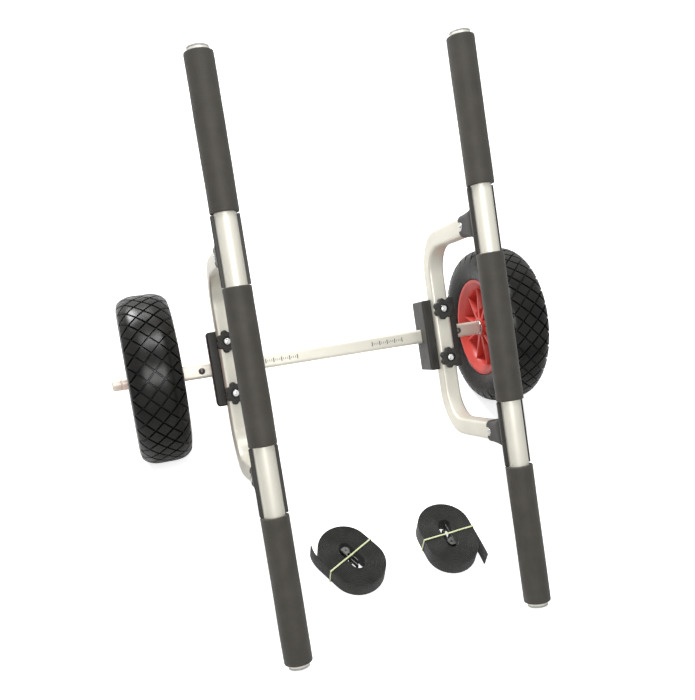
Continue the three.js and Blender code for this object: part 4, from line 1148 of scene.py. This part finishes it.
def block_grid(x):
    """The outline carried along the bunk, drawn in at each end as a quarter circle is.

    At each ring the points are held within the block's width at their height, less the draw.
    """
    right = [(CHANNEL_HALF, CHANNEL_Z), (CHANNEL_HALF, BLOCK_TOP), (BLOCK_TOP_X - 1.6, BLOCK_TOP),
             (BLOCK_TOP_X, BLOCK_TOP - 3.2), (BLOCK_FOOT_X, BLOCK_BOTTOM + 3.5),
             (BLOCK_FOOT_X - 3.5, BLOCK_BOTTOM)]
    left = [(-a, b) for a, b in right[::-1]]
    cuts = [0.4, 0.8, 1.2, 1.6, 2.0, 2.0]
    outline = rounded(right + left, cuts + cuts[::-1], 5)
    inset = np.linspace(0, 1, 8)
    ends = END_ROUND * (1 - np.sqrt(1 - (1 - inset) ** 2))
    y = np.concatenate([-BLOCK_HALF_Y + END_ROUND * inset, BLOCK_HALF_Y - END_ROUND * inset[::-1]])
    draw = np.concatenate([ends, ends[::-1]])
    level = (outline[:, 1] - BLOCK_BOTTOM) / (BLOCK_TOP - BLOCK_BOTTOM)
    rings = []
    for at, less in zip(y, draw):
        limit = BLOCK_FOOT_X + (BLOCK_TOP_X - BLOCK_FOOT_X) * level - less
        low, high = BLOCK_BOTTOM + EDGE_SHARE * less, BLOCK_TOP - EDGE_SHARE * less
        section = np.column_stack([np.clip(outline[:, 0], -limit, limit), np.clip(outline[:, 1], low, high)])
        rings.append(ring(section + [x, 0], at, "y"))
    return loft(rings)


def bar_cutter(x):
    """The crossbar with its clearance, right through the block."""
    section = rounded_square(BAR_WIDTH + BAR_FIT, BAR_WIDTH + BAR_FIT, BAR_CORNER, 6, 2)
    return loft([ring(section, at, "x") for at in (x - 40, x + 40)])


for side, name in SIDES:
    x = side * BUNK_X
    made = piece(f"{name}_clamp_moulding", [block_grid(x)], NYLON, f"{name}_frame", "black_plastic",
                 [f"{name}_clamp_block"])
    cut(made, bar_cutter(x))
    for way in (1, -1):
        cut(made, rod_grid(BOLT_HOLE, CUT_LOW, CUT_HIGH, "z", (x, way * KNOB_Y, 0)))
        cut(made, hexagon(NUT_POCKET, CUT_LOW, POCKET_TOP, (x, way * KNOB_Y, 0), "z"))
    print(made.name, len(made.data.polygons), "faces")

# %% [markdown]
# The star knobs have seven lobes. A lobe is a wave in the radius, and the rim's edges are
# rounded by walking a quarter circle inwards and upwards. The bolt's domed end shows in the
# recess on top.

# %% Knobs and clamp bolts
KNOB_FOOT, KNOB_TOP, LOBES = 51.3, 63.3, 7
KNOB_RADIUS, LOBE_SIZE, MAP_RADIUS = 15.6, 1.7, 15.0  # the last lays out the surface map
KNOB_HOLE, RECESS_RADIUS, RECESS_DEPTH = 5.3, 6.9, 4
BOLT_RADIUS, BOLT_DOME_RADIUS, BOLT_END, BOLT_RISE = 5.0, 5.2, 61.6, 1.7
HEAD_SIZE, HEAD_LOW, HEAD_HIGH = 9.0, -19.7, -13.3
SHANK_PROFILE = [(0, HEAD_LOW), (BOLT_RADIUS, HEAD_LOW), (BOLT_RADIUS, 59.5),
                 *dome_line(BOLT_DOME_RADIUS, BOLT_END, BOLT_RISE), (0, 63.3)]


def knob_grid(centre, steps=LOBES * 24):
    """Rows round the knob, whose radius is a plain circle's plus the row's lobe size times a wave.

    The wave has one period for each lobe, less a quarter of its double, which flattens the crests.
    """
    angle = np.arange(steps) / steps * 2 * math.pi
    wave = np.cos(LOBES * angle)
    # Rows: radius of the plain circle, size of the lobes, height.
    turn = np.linspace(0, math.pi / 2, 7)
    low = [(KNOB_RADIUS - 2.0 * (1 - math.sin(t)), LOBE_SIZE, KNOB_FOOT + 3.0 + 2.0 * (1 - math.cos(t)))
           for t in turn]
    high = [(KNOB_RADIUS - 2.6 * (1 - math.cos(t)), LOBE_SIZE - 0.4 * (1 - math.cos(t)),
             KNOB_TOP - 1.8 + 1.8 * math.sin(t) - 0.2) for t in turn]
    rows = [(KNOB_HOLE, 0, KNOB_FOOT), (11.0, 0, KNOB_FOOT), (11.5, 0, KNOB_FOOT + 0.5),
            (11.7, 0.2, KNOB_FOOT + 2.4), *low, *high, (10.0, 0.5, KNOB_TOP), (7.6, 0, KNOB_TOP),
            (RECESS_RADIUS, 0, KNOB_TOP - 0.6), (RECESS_RADIUS, 0, KNOB_TOP - RECESS_DEPTH),
            (KNOB_HOLE, 0, KNOB_TOP - RECESS_DEPTH)]
    radius, lobe, level = np.array(rows).T
    reach = radius[:, None] + lobe[:, None] * (wave - 0.25 * np.cos(2 * LOBES * angle))[None, :]
    height = np.broadcast_to(level[:, None], reach.shape)
    points = np.stack([reach * np.cos(angle), reach * np.sin(angle), height], -1)
    uv = np.stack(np.broadcast_arrays(angle[None, :] * MAP_RADIUS, level[:, None]), -1)
    wrap = (2 * math.pi * MAP_RADIUS, 0)
    return on_cart(points + centre), grid_faces(len(rows), steps, close_rows=True), uv, wrap


for side, name in SIDES:
    x = side * BUNK_X
    for end, way in ENDS:
        centre = (x, way * KNOB_Y, 0)
        piece(f"{name}_{end}_star_knob", [knob_grid(centre)], NYLON, f"{name}_{end}_knob", "black_plastic",
              [f"{name}_{end}_knob"], crease=40)
        grids = [turned(SHANK_PROFILE, "z", centre, 40), hexagon(HEAD_SIZE, HEAD_LOW, HEAD_HIGH, centre, "z")]
        piece(f"{name}_{end}_clamp_screw", grids, PLATED, f"{name}_frame", "steel",
              [f"{name}_{end}_clamp_bolt"])

# %% [markdown]
# ## The straps
#
# Two tie-down straps, each wound flat round its own cam buckle and held by a rubber band. The
# strap is one unbroken strip: half circles joined by short straights, each turn a little further
# out than the last, ending in a loose tail.

# %% The strip's line
WEB_WIDTH, WEB_THICK = 25.0, 2.0
ROLL_LIFT, ROLL_STRAIGHT, ROLL_CORE, ROLL_OUT = 1.5, 30.0, 9.4, 39.0
ROLL_LOOPS = 12
TAIL_LENGTH, TAIL_STEPS = 36.0, 14
# Where each roll's middle lies, how far the roll is turned and how far its tail bends, in degrees.
ROLLS = {"left": (-61.0, -314.0, 118.0, 32.0), "right": (88.0, -315.0, -86.0, 4.0)}


def on_roll(points, turn, x, y):
    """Turns and moves points from a roll's own frame into the ground's."""
    spin = np.array([[math.cos(turn), -math.sin(turn), 0], [math.sin(turn), math.cos(turn), 0], [0, 0, 1]])
    return np.asarray(points) @ spin.T + [x, y, 0]


def strip_line(tail_bend, arc=24):
    """Half circles of growing radius round two centres, clockwise, and a tail that curls in a little.

    The radius grows evenly with the turn. The tail's heading turns as the square of the way along.
    """
    half_turns = np.repeat(np.arange(2 * ROLL_LOOPS), arc + 1)
    share = np.tile(np.arange(arc + 1) / arc, 2 * ROLL_LOOPS)
    turn = (half_turns + share) / 2
    centre = np.where(half_turns % 2, -1, 1) * ROLL_STRAIGHT / 2
    angle = math.pi / 2 - 2 * math.pi * turn
    reach = ROLL_CORE + (ROLL_OUT - ROLL_CORE) / ROLL_LOOPS * turn
    wound = np.column_stack([centre + reach * np.cos(angle), reach * np.sin(angle)])
    share = np.arange(1, TAIL_STEPS + 1) / TAIL_STEPS
    heading = -math.radians(tail_bend) * share ** 2
    step = TAIL_LENGTH / TAIL_STEPS
    tail = np.cumsum(np.column_stack([np.cos(heading), np.sin(heading)]) * step, 0)
    start = np.array([ROLL_STRAIGHT / 2, wound[-1, 1]])
    return np.concatenate([wound, start[None], start + tail])


def strip_grid(line, turn, x, y):
    """The strip stands on its edge: a thin rounded section carried along the line."""
    step = np.gradient(line, axis=0)
    step /= np.linalg.norm(step, axis=1, keepdims=True)
    side = np.column_stack([-step[:, 1], step[:, 0]])
    half, width = WEB_THICK / 2, WEB_WIDTH
    section = rounded([(-half, 0), (half, 0), (half, width), (-half, width)], 0.7, 3)
    walked = along(line)
    flat = line[:, None] + side[:, None] * section[None, :, :1]
    height = np.broadcast_to(section[None, :, 1:] + ROLL_LIFT, (len(line), len(section), 1))
    points = on_roll(np.concatenate([flat, height], -1), turn, x, y)
    around = along(np.concatenate([section, section[:1]]))
    made, faces, *_ = loft(points, place=on_ground)
    lengthwise = np.concatenate([[0], walked, walked[-1:]])
    uv = np.stack(np.broadcast_arrays(around[None, :-1], lengthwise[:, None]), -1)
    return (made, faces, uv, (around[-1], 0)), walked[-1]


# %% Buckles, levers and bands
ROLL_TOP = ROLL_LIFT + WEB_WIDTH
BUCKLE_TOP = ROLL_TOP - 2.5
PIVOT_X, PIVOT_Y, CAM_RADIUS, CAM_EDGE, PIN_RADIUS = 12.0, -0.5, 3.2, 0.3, 1.5
EAR_THICK, CAM_GAP, BLADE_REACH = 1.6, 1.9, 24
BAND_THICK, BAND_HALF, BAND_STEP, BAND_CORE = 0.6, 1.2, 3, 9


def slab(x0, x1, y0, y1, z0, z1, corner=1.5):
    """A plate with rounded corners seen from its broad side, standing on its edge."""
    outline, soft = (rounded([(x0 + k, z0 + k), (x1 - k, z0 + k), (x1 - k, z1 - k), (x0 + k, z1 - k)],
                             corner, 5) for k in (0, 0.25))
    levels = ((y0, soft), (y0 + 0.25, outline), (y1 - 0.25, outline), (y1, soft))
    return [ring(line, y, "y") for y, line in levels]


def roll_place(turn, x, y):
    """Puts points of a roll's own frame on the ground."""
    return lambda points: on_ground(on_roll(points, turn, x, y))


def buckle_grids(place):
    """The body's three cross strips and the two rails that join them."""
    low, high = ROLL_LIFT, BUCKLE_TOP
    parts = [slab(-18, -14, 3, 4.8, low, high, 1.0), slab(-4, 0, 3, 4.8, low, high, 0.3),
             slab(10, 18, 3, 4.8, low, high, 1.0),
             slab(-15, 11, 3.05, 4.75, low, low + 4, 0.3), slab(-15, 11, 3.05, 4.75, high - 4, high, 0.3)]
    return [loft(rings, place=place) for rings in parts]


def ear_rings(z0, z1):
    """The side plate that holds the lever's pin."""
    corners = [(6, 4), (18, 4), (18, -3), (14, -6), (9, -6), (6, -2)]
    outline = rounded(corners, [0.8, 0.8, 2.5, 2.5, 2.5, 2.5], 5)
    return [ring(outline, z, "z") for z in (z0, z1)]


def band_grid(turn, x, y, high, low, drop):
    """The rubber band: a flattened ring carried round the roll, dipping a little over the hollow core."""
    top, bottom = ROLL_TOP + 0.3 + BAND_THICK, BAND_THICK
    outline = rounded([(high, bottom), (high, top), (low, top), (low, bottom)], 0.9, 6)
    line = filled(np.concatenate([outline, outline[:1]]), BAND_STEP)[:-1]
    hollow = np.exp(-((line[:, 0] - 2) / BAND_CORE) ** 2) * (line[:, 1] > top - 1)
    line = line - np.column_stack([np.zeros(len(line)), drop * hollow])
    step = np.roll(line, -1, 0) - np.roll(line, 1, 0)
    step /= np.linalg.norm(step, axis=1, keepdims=True)
    out = np.column_stack([step[:, 1], -step[:, 0]])
    around = np.arange(10) / 10 * 2 * math.pi
    thick, wide = BAND_THICK * np.cos(around), BAND_HALF * np.sin(around)
    across = line[:, None] + out[:, None] * thick[None, :, None]
    points = np.concatenate([np.broadcast_to(wide[None, :, None], (*across.shape[:2], 1)), across], -1)
    return loft(points, place=roll_place(turn, x, y), close_rows=True)


# %% Wind both straps
for name, (x, y, degrees, tail_bend) in ROLLS.items():
    turn = math.radians(degrees)
    place = roll_place(turn, x, y)
    grid, length = strip_grid(strip_line(tail_bend), turn, x, y)
    strap = piece(f"{name}_tie_down_strap", [grid], WEBBING, f"{name}_strap", "webbing",
                  [f"{name}_strap_webbing"], crease=50)
    ears = [loft(ear_rings(foot, foot + EAR_THICK), place=place)
            for foot in (ROLL_LIFT, BUCKLE_TOP - EAR_THICK)]
    piece(f"{name}_buckle_body", buckle_grids(place) + ears, DULL_ZINC, f"{name}_strap", "steel",
          [f"{name}_cam_buckle"])
    low, high, inner = ROLL_LIFT + CAM_GAP, BUCKLE_TOP - CAM_GAP, CAM_RADIUS - CAM_EDGE
    pivot = (PIVOT_X, PIVOT_Y, 0)
    cam = turned([(0, low), (inner, low), (CAM_RADIUS, low + CAM_EDGE), (CAM_RADIUS, high - CAM_EDGE),
                  (inner, high), (0, high)], "z", pivot, 32, place=place)
    pin = turned([(0, ROLL_LIFT), (PIN_RADIUS, ROLL_LIFT), (PIN_RADIUS, BUCKLE_TOP), (0, BUCKLE_TOP)], "z",
                 pivot, 24, place=place)
    face = PIVOT_Y - CAM_RADIUS
    blade = loft(slab(PIVOT_X - BLADE_REACH, PIVOT_X, face, face + EAR_THICK, low, high, 2.5), place=place)
    piece(f"{name}_buckle_lever", [cam, pin, blade], DULL_ZINC, f"{name}_cam_lever", "steel",
          [f"{name}_cam_lever"])
    outer = ROLL_OUT + 1.2 + 0.9
    piece(f"{name}_latex_band", [band_grid(turn, x, y, outer, -(outer - 1.5), 0.6)], LATEX, f"{name}_strap",
          "rubber_band", [f"{name}_rubber_band"])
    print(strap.name, round(length), "mm of webbing")

# %% [markdown]
# ## Studio
#
# The camera stands where the photographer's did, a little over a metre above the cart and to its
# left, looking down. Its place was worked out from the wheels, the bar and the bunks.

# %% Camera
CAMERA_SPOT = (-317.3, 21.6, 1261.7)
CAMERA_RIGHT = np.array((0.9527, -0.1522, 0.2631))
CAMERA_UP = np.array((0.1695, 0.9845, -0.0442))
camera_data = bpy.data.cameras.new("camera")
camera_data.lens, camera_data.sensor_width = 41.70, 36.0
camera_data.shift_x, camera_data.shift_y = -0.0038, 0.0792
camera = bpy.data.objects.new("camera", camera_data)
bpy.context.scene.collection.objects.link(camera)
right, up = LEAN @ CAMERA_RIGHT, LEAN @ CAMERA_UP
right /= np.linalg.norm(right)
up -= right * (right @ up)
up /= np.linalg.norm(up)
back = np.cross(right, up)
spot = on_cart(CAMERA_SPOT)
camera.matrix_world = Matrix([[right[i], up[i], back[i], spot[i]] for i in range(3)] + [[0, 0, 0, 1]])
bpy.context.scene.camera = camera

# %% [markdown]
# The floor is plain and pale. The biggest lamp stands behind the cart and above it, which puts a
# sheen on the tops of the tyres and leaves their fronts dark. One overhead lights the flat tops,
# a small one beside the camera rounds the foam, and the world adds a little from every side.


# %% Floor, lamps and world
FLOOR_LIFT, FLOOR_HALF, WORLD_LIGHT = 0.72, 12.0, 0.15


def floor_paint():
    """A white floor that catches the shadows, with a little light of its own for the camera alone."""
    material, shader = finish("studio_floor", "#f4f4f4", 1.0)
    path = add(material, "ShaderNodeLightPath")
    lift = ranged(material, path.outputs["Is Camera Ray"], 0.0, FLOOR_LIFT)
    link(material, lift, shader, "Emission Strength")
    shader.inputs["Emission Color"].default_value = (1, 1, 1, 1)
    shader.inputs["Specular IOR Level"].default_value = 0.0
    return material


floor_mesh = bpy.data.meshes.new("floor")
corners = [(x * FLOOR_HALF, y * FLOOR_HALF, 0) for x, y in ((-1, -1), (1, -1), (1, 1), (-1, 1))]
floor_mesh.from_pydata(corners, [], [(0, 1, 2, 3)])
floor_mesh.materials.append(floor_paint())
floor = bpy.data.objects.new("floor", floor_mesh)
bpy.context.scene.collection.objects.link(floor)
floor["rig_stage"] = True


def soft_lamp(name, size, energy, spot, aim):
    """A square area lamp that faces its aim."""
    data = bpy.data.lights.new(name, "AREA")
    data.size, data.energy = size, energy
    lamp = bpy.data.objects.new(name, data)
    bpy.context.scene.collection.objects.link(lamp)
    way = np.array(aim, float) - np.array(spot, float)
    way /= np.linalg.norm(way)
    side_way = np.cross(way, [0, 0, 1.0])
    side_way /= np.linalg.norm(side_way)
    over = np.cross(side_way, way)
    lamp.matrix_world = Matrix([[side_way[i], over[i], -way[i], spot[i]] for i in range(3)] + [[0, 0, 0, 1]])


soft_lamp("rear_lamp", 0.8, 66, (-0.75, 2.1, 1.75), (0, 0.1, 0.2))
soft_lamp("top_lamp", 0.6, 24, (0.0, 0.35, 2.5), (0, 0.0, 0.2))
soft_lamp("front_lamp", 0.45, 7, spot + right * 0.08 + up * 0.1 + back * 0.1, (0, 0.0, 0.2))


def studio_world():
    """White where the camera or a polished face looks, and much dimmer as a source of light."""
    world = bpy.data.worlds.new("studio")
    world.use_nodes = True
    background = world.node_tree.nodes["Background"]
    path = add(world, "ShaderNodeLightPath")
    seen = calculate(world, "MAXIMUM", path.outputs["Is Camera Ray"], path.outputs["Is Glossy Ray"])
    link(world, ranged(world, seen, WORLD_LIGHT, 1.0), background, "Strength")
    background.inputs["Color"].default_value = (1, 1, 1, 1)
    return world


bpy.context.scene.world = studio_world()
bpy.context.scene.view_settings.view_transform = "Standard"

# %% Write the sizes and finish
visual_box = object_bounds()
for kind, (low, high) in (("solids", cad_box), ("dressed", visual_box)):
    print(kind, [round(b - a, 4) for a, b in zip(low, high)])
